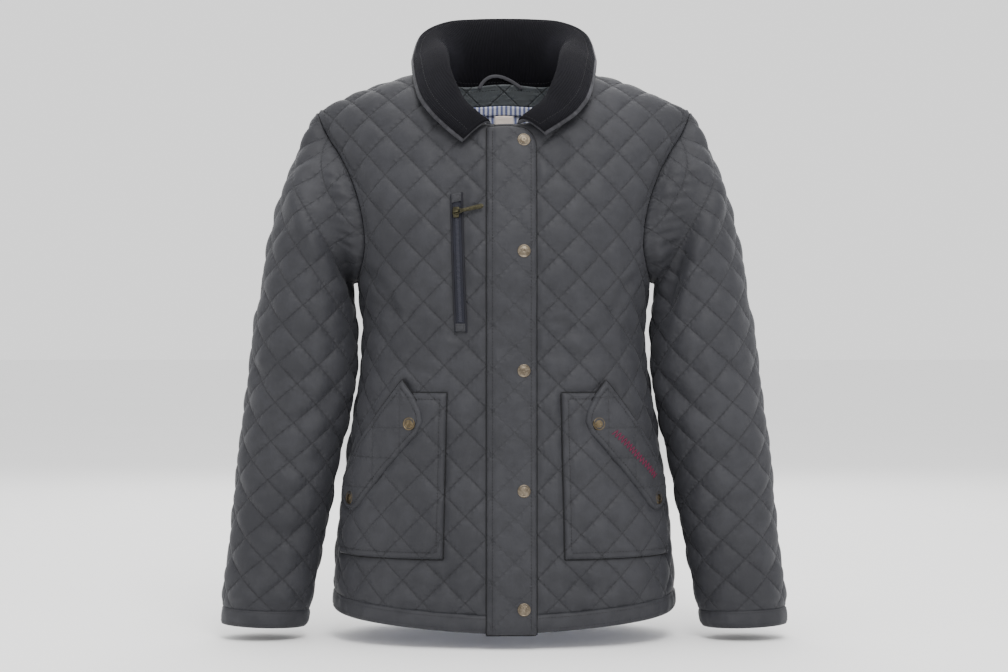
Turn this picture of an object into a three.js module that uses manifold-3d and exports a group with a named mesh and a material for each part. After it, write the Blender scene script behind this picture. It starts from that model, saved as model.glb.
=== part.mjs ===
// Quilted jacket, hollow, in the form it has when it is worn.
// Millimetres, +Z up, +X to the viewer's right, front towards -Y.
// The origin is between the two neck points, at the height of the shoulder line.
// Each piece is cut flat in pattern coordinates, s across and v up, and then laid on a worn surface.
import * as THREE from "three";
import { mergeVertices } from "three/addons/utils/BufferGeometryUtils.js";
import Module from "manifold-3d";

const wasm = await Module();
wasm.setup();

// Cloth
const SEAM = 0.3; // between two pieces that are sewn together
const WALL = 2; // cloth and padding squeezed at a stitch line
const PUFF = 3; // how far a quilted diamond swells above its stitch lines
const BODY_DIAMOND = 48; // a diamond's diagonal on the body
const SLEEVE_DIAMOND = 45;
const FADE = 14; // a diamond flattens over this distance towards a seam
const BAND = 20; // height of the plain hem and cuff bands
const THIN = 1.2; // unpadded cloth

// Torso, measured on the inside of the cloth. The ring at each height has these half sizes.
const TORSO = [
  { z: -645, width: 200, front: 137, back: 126 },
  { z: -560, width: 194, front: 133, back: 121 },
  { z: -480, width: 185.5, front: 128, back: 116 },
  { z: -400, width: 174, front: 124, back: 110 },
  { z: -340, width: 165, front: 121, back: 106 },
  { z: -290, width: 162, front: 120, back: 105 },
  { z: -238, width: 168, front: 123, back: 109 },
];
const ARMPIT_Z = -238;
const SIDE_Y = 4; // depth of the side seams
const RIDGE_Y = 8; // depth of the shoulder seams
const RING_SQUARE = 0.03; // how square a ring is, 0 for an ellipse
const SHOULDER_SPREAD = 64; // how much wider the shoulders are than the armpits, each side
const CHEST_ROUND = 2; // exponent of the side view from armpit to shoulder, in front
const BACK_ROUND = 2.6;
const RIDGE_TOP = 14.3;
const RIDGE_DROP = 0.00118; // the shoulder line falls by this times x squared
const NECK_RISE = 25; // the shoulder line climbs towards the neck
const NECK_RISE_X = 85;

const HEM_Z = -633; // at the centre front
const HEM_SIDE_RISE = 19;
const HEM_BEND = 0.3; // how much of the way to the side seams the hem bends over, before it rises straight
const HEM_BACK_Z = -629;
const FRONT_NECK_Z = -63;
const BACK_NECK_Z = 0;
const NECK_X = 79;
const FRONT_EDGE = -11; // where the two fronts meet, under the placket
const SHOULDER_X = 217;
// The armhole's depth at each height, in front and behind.
const ARMHOLE = [
  { z: -233, front: -22, back: 30 },
  { z: -222, front: -45, back: 50 },
  { z: -205, front: -58, back: 61 },
  { z: -183, front: -62, back: 66 },
  { z: -151, front: -58, back: 63 },
  { z: -117, front: -45, back: 52 },
  { z: -90, front: -28, back: 37 },
  { z: -68, front: -11, back: 24 },
];

// Sleeve sections from the cuff up, for the sleeve at +X.
// Each has its centre, its half sizes and its tilt in degrees.
const SLEEVE = [
  { x: 278.5, y: -26, z: -635, width: 47.5, depth: 41, tilt: 2 },
  { x: 275, y: -24.5, z: -611, width: 48.7, depth: 42.5, tilt: 3 },
  { x: 265.5, y: -21.5, z: -552, width: 50.5, depth: 45.5, tilt: 5 },
  { x: 257, y: -19, z: -494, width: 53.2, depth: 49, tilt: 7 },
  { x: 248.8, y: -17, z: -435, width: 55.8, depth: 52, tilt: 8 },
  { x: 238, y: -16, z: -377, width: 58.2, depth: 55, tilt: 10 },
  { x: 231, y: -13, z: -318, width: 59.2, depth: 59, tilt: 13 },
  { x: 227, y: -4, z: -258, width: 56, depth: 63, tilt: 22 },
  { x: 222, y: 4, z: -208, width: 61, depth: 65, tilt: 45 },
  { x: 210.5, y: 4, z: -170, width: 77, depth: 66, tilt: 65 },
];

// The deepest folds of each sleeve: places on the flat sleeve along the crease, its width and its depth
const SLEEVE_FOLDS = {
  left: [
    {
      along: [[38, 538], [59, 513], [79, 485], [96, 461], [112, 436], [125, 411], [137, 380], [146, 346]],
      width: 13,
      depth: 7,
    },
    { along: [[88, 330], [70, 300], [40, 285]], width: 12, depth: 3 },
  ],
  right: [
    {
      along: [[45, 541], [66, 514], [84, 488], [107, 456], [130, 433], [163, 403], [174, 371]],
      width: 13,
      depth: 7,
    },
    { along: [[20, 300], [55, 285], [90, 290]], width: 12, depth: 3 },
  ],
};

// Collar, from the centre back to the front edge, at +X: where the cloth rolls over, and its outer edge.
const COLLAR = [
  { at: 0, rollX: 0, rollY: 72, rollZ: 46, edgeX: 0, edgeY: 92, edgeZ: 83 },
  { at: 0.1, rollX: 27, rollY: 70, rollZ: 45, edgeX: 35, edgeY: 90, edgeZ: 82 },
  { at: 0.2, rollX: 53, rollY: 62, rollZ: 43, edgeX: 71, edgeY: 82, edgeZ: 77.5 },
  { at: 0.3, rollX: 70, rollY: 43, rollZ: 42, edgeX: 99, edgeY: 57, edgeZ: 60 },
  { at: 0.4, rollX: 71, rollY: 14, rollZ: 38, edgeX: 109, edgeY: 18, edgeZ: 28 },
  { at: 0.5, rollX: 68, rollY: -16.9, rollZ: 26, edgeX: 108, edgeY: -14.9, edgeZ: 9 },
  { at: 0.6, rollX: 65, rollY: -43.1, rollZ: 7, edgeX: 104, edgeY: -45.1, edgeZ: -12 },
  { at: 0.7, rollX: 58, rollY: -64, rollZ: -14, edgeX: 97, edgeY: -71, edgeZ: -32 },
  { at: 0.8, rollX: 48, rollY: -80, rollZ: -34, edgeX: 83, edgeY: -91, edgeZ: -51 },
  { at: 0.9, rollX: 34, rollY: -93, rollZ: -49, edgeX: 65, edgeY: -102, edgeZ: -67 },
  { at: 1, rollX: 24, rollY: -100.4, rollZ: -61, edgeX: 47, edgeY: -107.4, edgeZ: -80 },
];
const COLLAR_WALL = 1.5; // each of its two layers
const COLLAR_GAP = 0.7;
const COLLAR_END_X = 11; // how close to the centre front it starts, each side
const COLLAR_SEAT = { back: 1.7, front: 3.6 }; // how far its seam stands above the neck edge
const COLLAR_EDGE = 2; // the under layer shows this far past the cord
const COLLAR_SKEW = 4; // one point of the collar hangs lower and the other higher by this

// Placket, snaps, pockets, flaps and zip lie on the fronts, at these pattern coordinates
const PLACKET = { left: -19, right: 36, corner: 16, origin: [11.7, -179] };
const SNAP_S = 22;
const SNAP_Z = [-81, -207, -341, -475, -606];
const SNAP_SEAT = { placket: 0.8, flap: 0.62 }; // how far a cap stands off the cloth
const SNAP = { radius: 7.5, rim: 1.2, height: 2.6, sides: 12 };
const POCKET = { inner: 64, innerLow: 68, outer: 214, top: -366, bottom: -551 };
const FLAP = [
  { s: 115, v: -352 },
  { s: 102, v: -368 },
  { s: 92, v: -386 },
  { s: 90, v: -399 },
  { s: 96, v: -412 },
  { s: 172, v: -496 },
  { s: 182, v: -501 },
  { s: 194, v: -499 },
  { s: 205, v: -491 },
  { s: 212, v: -478 },
  { s: 211, v: -465 },
];
const FLAP_SNAPS = [
  { s: 105, v: -401 },
  { s: 187, v: -487 },
];
const ZIP = { top: { s: -53.5, v: -136 }, bottom: { s: -48, v: -297 }, width: 11, tape: 1, tab: 9 };
const SLIDER = { s: -53.2, z: -159, width: 8, length: 12, height: 2.4 };
// The pull hangs on a bar under the slider's bridge, and turns up about it.
const PULL = { length: 32, width: 5.4, thick: 1.2, turn: 12, axis: 3.8, eye: 5, rim: 1.1 };
const BRIDGE = { reach: 3.3, width: 1.8, thick: 1.1, clear: 0.5 };
const FACING_DEPTH = 25.5;
const LINING_DEPTH = 35.5;
const LABEL = { width: 23, height: 16 };
const LOOP = { left: -30, right: 22, peak: -10, rise: 15, width: 4, thick: 1, sunk: 5, clear: 1 };

const mix = (a, b, t) => a + (b - a) * t;
const clamp01 = (t) => Math.min(1, Math.max(0, t));
const soft = (t) => clamp01(t) ** 2 * (3 - 2 * clamp01(t));
const span = (n) => Array.from({ length: n + 1 }, (_, i) => i / n);

// A smooth curve through one column of a table, against another column.
function column(rows, across, key) {
  const slope = (i) => {
    const lo = rows[Math.max(0, i - 1)], hi = rows[Math.min(rows.length - 1, i + 1)];
    return (hi[key] - lo[key]) / (hi[across] - lo[across]);
  };
  return (x) => {
    let i = rows.findIndex((row) => row[across] >= x);
    i = i < 0 ? rows.length - 1 : Math.max(1, i);
    const a = rows[i - 1], b = rows[i], h = b[across] - a[across];
    const t = clamp01((x - a[across]) / h);
    return (2 * t ** 3 - 3 * t * t + 1) * a[key] + (t ** 3 - 2 * t * t + t) * h * slope(i - 1)
      + (3 * t * t - 2 * t ** 3) * b[key] + (t ** 3 - t * t) * h * slope(i);
  };
}

// Straight lines through points (xs, ys), with xs rising.
function lookup(xs, ys, x) {
  let i = xs.findIndex((value) => value >= x);
  i = i < 0 ? xs.length - 1 : Math.max(1, i);
  return mix(ys[i - 1], ys[i], clamp01((x - xs[i - 1]) / (xs[i] - xs[i - 1] || 1)));
}

// Where a rising function reaches a value.
function solve(f, target, low, high) {
  for (let i = 0; i < 44; i++) {
    const middle = (low + high) / 2;
    if (f(middle) < target) low = middle;
    else high = middle;
  }
  return (low + high) / 2;
}

function running(points) {
  const lengths = [0];
  points.slice(1).forEach((p, i) => lengths.push(lengths[i] + p.distanceTo(points[i])));
  return lengths;
}

// The place on a row of points at a length along it: the point before it, and the share of the way to the next.
function placeAt(lengths, l) {
  const next = lengths.findIndex((value) => value > l);
  const i = next < 0 ? lengths.length - 2 : Math.max(0, next - 1);
  return [i, clamp01((l - lengths[i]) / (lengths[i + 1] - lengths[i]))];
}

const ridgeZ = (x) =>
  RIDGE_TOP - RIDGE_DROP * x * x + NECK_RISE * Math.max(0, 1 - (x / NECK_RISE_X) ** 2) ** 2;

// The front or the back of the torso: a point and its outward direction at pattern coordinates s and v.
// Below the armpits v is the height. Above them it runs on over the chest to the shoulder seam.
function torsoSide(face) {
  const outward = face === "front" ? -1 : 1;
  const round = face === "front" ? CHEST_ROUND : BACK_ROUND;
  const width = column(TORSO, "z", "width"), depth = column(TORSO, "z", face);

  function ringPoint(rise, z, angle) {
    const half = width(z), k = RING_SQUARE;
    let x = half * (Math.sin(angle) + k * Math.sin(3 * angle)) / (1 - k);
    const y = SIDE_Y + outward * depth(z) * (Math.cos(angle) - k * Math.cos(3 * angle)) / (1 - k);
    if (rise <= 0) return new THREE.Vector3(x, y, z);
    x *= (half + SHOULDER_SPREAD * rise) / half;
    const up = Math.sin(rise * Math.PI / 2) ** (2 / round);
    const out = Math.max(0, Math.cos(rise * Math.PI / 2)) ** (2 / round);
    return new THREE.Vector3(x, mix(RIDGE_Y, y, out), mix(ARMPIT_Z, ridgeZ(x), up));
  }

  const rows = [
    ...span(14).map((t) => ({ rise: 0, z: mix(TORSO[0].z, ARMPIT_Z, t) })),
    ...span(40).slice(1).map((t) => ({ rise: t, z: ARMPIT_Z })),
  ];
  let v = 0, last = null;
  for (const row of rows) {
    const middle = ringPoint(row.rise, row.z, Math.PI / 5);
    v = row.rise > 0 ? v + middle.distanceTo(last) : row.z;
    last = middle;
    row.v = v;
    row.angles = span(40).map((t) => t * Math.PI / 2);
    row.lengths = running(row.angles.map((angle) => ringPoint(row.rise, row.z, angle)));
    row.half = row.lengths.at(-1);
  }
  const vs = rows.map((row) => row.v), top = v;
  const half = (at) => lookup(vs, rows.map((row) => row.half), at);
  const riseAt = (at) => (at <= ARMPIT_Z ? 0 : lookup(vs, rows.map((row) => row.rise), at));

  function point(s, at) {
    let i = vs.findIndex((value) => value >= at);
    i = i < 0 ? vs.length - 1 : Math.max(1, i);
    const share = Math.min(1, Math.abs(s) / half(at));
    const angle = mix(
      lookup(rows[i - 1].lengths, rows[i - 1].angles, share * rows[i - 1].half),
      lookup(rows[i].lengths, rows[i].angles, share * rows[i].half),
      clamp01((at - vs[i - 1]) / (vs[i] - vs[i - 1])),
    );
    const p = ringPoint(riseAt(at), Math.min(at, ARMPIT_Z), angle);
    return new THREE.Vector3(Math.sign(s) * p.x, p.y, p.z);
  }

  function normal(s, at) {
    const step = 1.5, high = Math.min(at + step, top), low = high - 2 * step;
    const edge = half(at) - step, across = Math.max(-edge, Math.min(edge, s));
    const along = point(across + step, at).sub(point(across - step, at));
    const up = point(across, high).sub(point(across, low));
    return along.cross(up).normalize().multiplyScalar(-outward);
  }

  // The pattern coordinates of the place at depth y and height z, above the armpit.
  function atDepth(y, z) {
    const angleFor = (rise) =>
      solve((angle) => -outward * ringPoint(rise, ARMPIT_Z, angle).y, -outward * y, 0, Math.PI / 2);
    const rise = solve((t) => ringPoint(t, ARMPIT_Z, angleFor(t)).z, z, 0, 0.999);
    const at = lookup(rows.map((row) => row.rise + row.v * 1e-9), vs, rise);
    return { s: acrossAt(rise, angleFor(rise)), v: at };
  }

  function acrossAt(rise, angle) {
    const points = span(40).map((t) => ringPoint(rise, ARMPIT_Z, t * angle));
    return running(points).at(-1);
  }

  const acrossTop = (x) => acrossAt(1, solve((angle) => ringPoint(1, ARMPIT_Z, angle).x, x, 0, Math.PI / 2));
  const upTo = (z) => solve((at) => point(0, at).z, z, TORSO[0].z, top);
  return { point, normal, half, top, atDepth, acrossTop, upTo, reversed: face === "back" };
}

const front = torsoSide("front"), back = torsoSide("back");

// A closed mesh given by corners and triangles, as a solid, and a solid as a geometry.
function solidOf(geometry) {
  const bare = new THREE.BufferGeometry().setAttribute("position", geometry.getAttribute("position"));
  bare.setIndex(geometry.index);
  const merged = mergeVertices(bare, 1e-5);
  return new wasm.Manifold(new wasm.Mesh({
    numProp: 3,
    vertProperties: new Float32Array(merged.attributes.position.array),
    triVerts: new Uint32Array(merged.index.array),
  }));
}

function geometryOf(solid) {
  const mesh = solid.getMesh(), n = mesh.numProp, xyz = new Float32Array(mesh.numVert * 3);
  for (let i = 0; i < mesh.numVert; i++) xyz.set(mesh.vertProperties.subarray(i * n, i * n + 3), i * 3);
  const geometry = new THREE.BufferGeometry().setAttribute("position", new THREE.BufferAttribute(xyz, 3));
  geometry.setIndex(new THREE.BufferAttribute(new Uint32Array(mesh.triVerts), 1));
  return geometry;
}

// A flat slab over a grid, bowed a little so that a cut keeps all its corners.
// Its squares are split along the stitch lines.
const SLAB = 10, BOW = 2e-4;
const bowed = (s, v) => BOW * (s * s + v * v);
function slab(low, high, cell, origin) {
  const start = [0, 1].map((k) => Math.floor((low[k] - origin[k]) / cell[k]) - 1);
  const stop = [0, 1].map((k) => Math.ceil((high[k] - origin[k]) / cell[k]) + 1);
  const wide = stop[0] - start[0] + 1, tall = stop[1] - start[1] + 1;
  const xyz = [], faces = [], id = (i, j, layer) => (layer * tall + j) * wide + i;
  for (const layer of [0, 1])
    for (let j = 0; j < tall; j++)
      for (let i = 0; i < wide; i++) {
        const s = origin[0] + (start[0] + i) * cell[0], v = origin[1] + (start[1] + j) * cell[1];
        xyz.push(s, v, bowed(s, v) + layer * SLAB);
      }
  const quad = (a, b, c, d) => faces.push(a, b, c, a, c, d);
  for (let j = 0; j < tall - 1; j++)
    for (let i = 0; i < wide - 1; i++) {
      const rising = (i + start[0] + j + start[1]) % 2 === 0;
      for (const layer of [0, 1]) {
        const corner = [id(i, j, layer), id(i + 1, j, layer), id(i + 1, j + 1, layer), id(i, j + 1, layer)];
        const [a, b, c, d] = rising ? corner : [...corner.slice(1), corner[0]];
        if (layer) quad(a, b, c, d);
        else quad(a, d, c, b);
      }
    }
  for (let i = 0; i < wide - 1; i++) {
    quad(id(i, 0, 0), id(i + 1, 0, 0), id(i + 1, 0, 1), id(i, 0, 1));
    quad(id(i + 1, tall - 1, 0), id(i, tall - 1, 0), id(i, tall - 1, 1), id(i + 1, tall - 1, 1));
  }
  for (let j = 0; j < tall - 1; j++) {
    quad(id(0, j + 1, 0), id(0, j, 0), id(0, j, 1), id(0, j + 1, 1));
    quad(id(wide - 1, j, 0), id(wide - 1, j + 1, 0), id(wide - 1, j + 1, 1), id(wide - 1, j, 1));
  }
  const geometry = new THREE.BufferGeometry();
  geometry.setAttribute("position", new THREE.Float32BufferAttribute(xyz, 3));
  geometry.setIndex(faces);
  return solidOf(geometry);
}

// A piece cut flat to an outline and laid on a surface.
// lift is how far its inner face stands off, and puff is what swells outward.
function cutAndLay({ outline, surface, cell, origin = [0, 0], lift = () => 0, wall = WALL, puff = () => 0 }) {
  const shape = new THREE.Shape(outline.map(([s, v]) => new THREE.Vector2(s, v)));
  const cutter = new THREE.ExtrudeGeometry(shape, { depth: 400, bevelEnabled: false, steps: 1 });
  cutter.translate(0, 0, -50);
  const low = [0, 1].map((k) => Math.min(...outline.map((p) => p[k])));
  const high = [0, 1].map((k) => Math.max(...outline.map((p) => p[k])));
  const geometry = geometryOf(slab(low, high, cell, origin).intersect(solidOf(cutter)));
  const position = geometry.getAttribute("position");
  for (let i = 0; i < position.count; i++) {
    const s = position.getX(i), v = position.getY(i);
    const outer = position.getZ(i) - bowed(s, v) > SLAB / 2;
    const height = lift(s, v) + (outer ? wall + puff(s, v) : 0);
    const p = surface.point(s, v).addScaledVector(surface.normal(s, v), height);
    position.setXYZ(i, p.x, p.y, p.z);
  }
  if (surface.reversed) geometry.index.array.reverse();
  return geometry;
}

// How much a diamond swells at a place: nothing on the stitch lines, all of it half way between them.
function quilting(diamond, origin, height = PUFF) {
  const half = diamond / 2;
  const off = (x) => Math.abs(x - 2 * Math.round(x / 2));
  return (s, v) => {
    const a = (s - origin[0]) / half, b = (v - origin[1]) / half;
    return height * Math.min(off(a + b), off(a - b));
  };
}

// The distance from a place to an outline, or to a row of places that isn't closed.
function distanceTo(outline, s, v, open = false) {
  let least = Infinity;
  outline.slice(open ? 1 : 0).forEach(([s2, v2], i) => {
    const [s1, v1] = outline[open ? i : (i || outline.length) - 1];
    const along = (s2 - s1) ** 2 + (v2 - v1) ** 2 || 1;
    const t = clamp01(((s - s1) * (s2 - s1) + (v - v1) * (v2 - v1)) / along);
    least = Math.min(least, Math.hypot(s - mix(s1, s2, t), v - mix(v1, v2, t)));
  });
  return least;
}

function inside(outline, s, v) {
  let odd = false;
  outline.forEach(([s1, v1], i) => {
    const [s2, v2] = outline[(i + 1) % outline.length];
    if (v1 > v !== v2 > v && s < mix(s1, s2, (v - v1) / (v2 - v1))) odd = !odd;
  });
  return odd;
}

// Quilting that dies away at a piece's own edge, and under and beside what is sewn over it.
function edged(puff, outline, covers = [], margin = 12) {
  return (s, v) => {
    let share = soft(distanceTo(outline, s, v) / FADE);
    for (const cover of covers)
      share *= inside(cover, s, v) ? 0 : soft((distanceTo(cover, s, v) - 1) / margin - 0.5);
    return share > 0 ? share * puff(s, v) : 0;
  };
}

// Folds of the whole cloth: a trough along each crease, with a softer swelling beside it.
function folded(creases, outline) {
  return (s, v) => {
    const share = soft(distanceTo(outline, s, v) / FADE);
    return share * creases.reduce((sum, { along, width, depth }) => {
      const away = distanceTo(along, s, v, true) / width;
      return sum - depth * Math.exp(-away * away) + 0.4 * depth * Math.exp(-((away - 2.2) ** 2));
    }, 0);
  };
}

const mirrored = (outline) => outline.map(([s, v]) => [-s, v]).reverse();
const line = (a, b, n) => span(n).map((t) => [mix(a[0], b[0], t), mix(a[1], b[1], t)]);

// Outlines of the fronts and the back
function hemAt(surface, low, s) {
  const t = Math.abs(s) / surface.half(low);
  return low + (HEM_Z + HEM_SIDE_RISE - low) * t * t * (1 + HEM_BEND) / (t + HEM_BEND);
}

function armhole(surface, face, inset) {
  const rows = ARMHOLE.map((row) => surface.atDepth(row[face], row.z));
  const tip = { s: surface.acrossTop(SHOULDER_X), v: surface.top };
  const low = { s: surface.half(ARMPIT_Z), v: ARMPIT_Z };
  const curve = new THREE.CatmullRomCurve3(
    [low, ...rows, tip].map(({ s, v }) => new THREE.Vector3(s, v, 0)), false, "centripetal");
  const n = 34, points = curve.getSpacedPoints(n);
  return points.map((p, i) => {
    const ahead = points[Math.min(n, i + 1)].clone().sub(points[Math.max(0, i - 1)]).normalize();
    return [p.x - ahead.y * inset, p.y + ahead.x * inset];
  });
}

function neckline(surface, centreZ, inset) {
  const side = surface.acrossTop(NECK_X), low = surface.upTo(centreZ);
  return span(14).map((t) => {
    const angle = t * Math.PI / 2;
    const down = (surface.top - low + inset) * Math.sin(angle) ** 0.9;
    return [(side + inset) * Math.cos(angle) ** 0.9, surface.top - down];
  });
}

// The places along a panel's bottom edge, from the centre to the side seam, which the band below it shares.
function hemRow(surface, low, centre) {
  const side = surface.half(hemAt(surface, low, surface.half(low)) + BAND) - SEAM / 2;
  return span(10).map((t) => mix(centre, side, t));
}

function bodyOutline(surface, face, low, centre, neckZ) {
  const g = SEAM / 2, hem = (s) => hemAt(surface, low, s) + BAND + g;
  const sideLow = hem(surface.half(low));
  const bottom = hemRow(surface, low, centre).map((s) => [s, hem(s)]);
  const sideSeam = span(16).slice(1, -1).map((t) => {
    const v = mix(sideLow, ARMPIT_Z - g, t);
    return [surface.half(v) - g, v];
  });
  const arm = armhole(surface, face, g).map(([s, v], i) => [s, i ? v : v - g]);
  arm[0][0] = surface.half(ARMPIT_Z) - g;
  arm.at(-1)[1] = surface.top - g;
  const neck = neckline(surface, neckZ, g);
  neck[0][1] = surface.top - g;
  const shoulder = line(arm.at(-1), neck[0], 8).slice(1, -1);
  return { bottom, sideSeam, arm, shoulder, neck };
}

function frontOutline(left) {
  const centre = left ? -FRONT_EDGE + SEAM / 2 : FRONT_EDGE + SEAM / 2;
  const part = bodyOutline(front, "front", HEM_Z, centre, FRONT_NECK_Z);
  const neck = part.neck.filter(([s]) => s > centre + 1);
  const low = front.upTo(FRONT_NECK_Z);
  const over = left ? [] : line([0, low], [centre, low], 1).slice(1);
  const closing = left ? [[centre, neck.at(-1)[1] - 0.4]] : over;
  const outline = [...part.bottom, ...part.sideSeam, ...part.arm, ...part.shoulder, ...neck, ...closing];
  return left ? mirrored(outline) : outline;
}

function backOutline() {
  const part = bodyOutline(back, "back", HEM_BACK_Z, 0, BACK_NECK_Z);
  const low = [...part.bottom.slice(1), ...part.sideSeam, ...part.arm];
  const half = [...low, ...part.shoulder, ...part.neck.slice(0, -1)];
  return [part.bottom[0], ...half, [0, part.neck.at(-1)[1]], ...mirrored(half)];
}

function hemOutline(surface, low, across) {
  return [
    ...across.map((s) => [s, hemAt(surface, low, s)]),
    ...across.map((s) => [s, hemAt(surface, low, s) + BAND - SEAM / 2]).reverse(),
  ];
}

const placketTop = front.upTo(FRONT_NECK_Z);
const frontV = (z) => (z > ARMPIT_Z ? front.upTo(z) : z);
function placketOutline() {
  const { left, right, corner } = PLACKET, low = HEM_Z - 1, up = placketTop - 3;
  const round = span(5).map((t) => {
    const angle = t * Math.PI / 2;
    return [right - corner + corner * Math.cos(angle), up - corner + corner * Math.sin(angle)];
  });
  return [[left, low], [right, low], ...round, [left, up]];
}

function pocketOutline(side) {
  const { inner, innerLow, outer, top, bottom } = POCKET;
  const shape = [
    [innerLow, bottom], [outer, bottom], [outer, top - 96], [outer - 26, top - 84], [inner + 50, top], [inner, top],
  ];
  return side > 0 ? shape : mirrored(shape);
}

function flapOutline(side) {
  const shape = FLAP.map(({ s, v }) => [s, v]).reverse();
  return side > 0 ? mirrored(mirrored(shape)) : mirrored(shape);
}

const zipFrame = (margin) => {
  const { top, bottom, width } = ZIP, half = width / 2 + margin;
  const up = frontV(top.v) + margin, low = frontV(bottom.v) - margin;
  return [[bottom.s - half, low], [bottom.s + half, low], [top.s + half, up], [top.s - half, up]];
};

// The sleeve at +X: columns of its surface run from the cuff up to the armhole, and v is the length along each.
function sleeveSurface() {
  const COLUMNS = 48, STEPS = 8;
  const rim = new Map();
  for (const face of ["front", "back"]) {
    const surface = face === "front" ? front : back;
    rim.set(face, armhole(surface, face, 0).reverse().map(([s, v]) => ({
      p: surface.point(s, v), n: surface.normal(s, v),
    })));
  }
  // turn runs from -1 to 1: 0 is the top of the sleeve, positive values go round in front.
  function armholeAt(turn) {
    const row = rim.get(turn >= 0 ? "front" : "back"), lengths = running(row.map(({ p }) => p));
    const [i, t] = placeAt(lengths, Math.abs(turn) * lengths.at(-1));
    return { p: row[i].p.clone().lerp(row[i + 1].p, t), n: row[i].n.clone().lerp(row[i + 1].n, t).normalize() };
  }
  function sectionPoint(row, turn) {
    const angle = turn * Math.PI, tilt = THREE.MathUtils.degToRad(row.tilt), across = row.width * Math.cos(angle);
    return new THREE.Vector3(
      row.x + across * Math.cos(tilt), row.y - row.depth * Math.sin(angle), row.z + across * Math.sin(tilt));
  }
  const turns = span(COLUMNS).map((t) => 2 * t - 1);
  function columnThrough(turn, end) {
    const points = [...SLEEVE.map((row) => sectionPoint(row, turn)), end];
    const curve = new THREE.CatmullRomCurve3(points, false, "centripetal");
    return span((points.length - 1) * STEPS).map((t) => curve.getPoint(t));
  }
  // The sleeve's edge stands off the body just enough for its cloth to clear the body's.
  function edgeAt(turn) {
    const { p, n } = armholeAt(turn);
    const fall = THREE.MathUtils.degToRad(20);
    const outward = new THREE.Vector3(Math.cos(fall), 0, -Math.sin(fall));
    const start = p.clone().addScaledVector(outward, SEAM);
    const rough = columnThrough(turn, start).at(-3);
    const side = sectionPoint(SLEEVE.at(-1), turn);
    const centre = new THREE.Vector3(SLEEVE.at(-1).x, SLEEVE.at(-1).y, SLEEVE.at(-1).z);
    const own = side.sub(centre).normalize(), along = start.clone().sub(rough).normalize();
    own.addScaledVector(along, -own.dot(along)).normalize();
    const apart = WALL * (1 - Math.min(1, own.dot(n))) + 0.15;
    return start.addScaledVector(n, apart + 3.6 * SEAM);
  }
  const columns = turns.map((turn) => columnThrough(turn, edgeAt(turn)));
  const lengths = columns.map(running), ends = lengths.map((row) => row.at(-1));
  const rise = (u) => lookup(turns, ends, u);
  const halfAt = (v) => {
    const ring = columns.map((points, i) => alongColumn(i, v));
    return running(ring).at(-1) / 2;
  };
  function alongColumn(i, v) {
    const row = lengths[i];
    let k = row.findIndex((l) => l > v);
    k = k < 0 ? row.length - 1 : Math.max(1, k);
    const t = (v - row[k - 1]) / (row[k] - row[k - 1]);
    return columns[i][k - 1].clone().lerp(columns[i][k], Math.min(t, 1.5));
  }
  const under = ends[0], heights = span(12).map((t) => t * (under - 12));
  const halves = heights.map(halfAt);
  const half = (v) => lookup(heights, halves, v);
  function point(s, v) {
    const u = Math.max(-1, Math.min(1, s / half(v))), place = (u + 1) / 2 * COLUMNS;
    const i = Math.min(COLUMNS - 1, Math.floor(place));
    return alongColumn(i, v).lerp(alongColumn(i + 1, v), place - i);
  }
  function normal(s, v) {
    const step = 2, edge = half(v) - step, across = Math.max(-edge, Math.min(edge, s));
    const high = Math.min(v + step, rise(s / half(v))), low = high - 2 * step;
    const along = point(across + step, (high + low) / 2).sub(point(across - step, (high + low) / 2));
    return point(across, high).sub(point(across, low)).cross(along).normalize();
  }
  return { point, normal, half, rise, reversed: true };
}
const sleeve = sleeveSurface();

function sleeveOutline() {
  const g = SEAM / 2, low = BAND + g;
  const up = span(14).map((t) => mix(low, sleeve.rise(1) - 1, t));
  const right = up.map((v) => [sleeve.half(v) - g, v]);
  const top = span(60).slice(1, -1).map((t) => {
    const u = mix(1, -1, t);
    return [u * sleeve.half(sleeve.rise(u)), sleeve.rise(u)];
  });
  const bottom = span(16).slice(1, -1).map((t) => [mix(-right[0][0], right[0][0], t), low]);
  return [...bottom, ...right, ...top, ...mirrored(right)];
}

function cuffOutline() {
  const g = SEAM / 2, across = span(24).map((t) => mix(-1, 1, t));
  const at = (v) => across.map((u) => [u * (sleeve.half(v) - g), v]);
  return [...at(0), ...at(BAND - g).reverse()];
}

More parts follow.
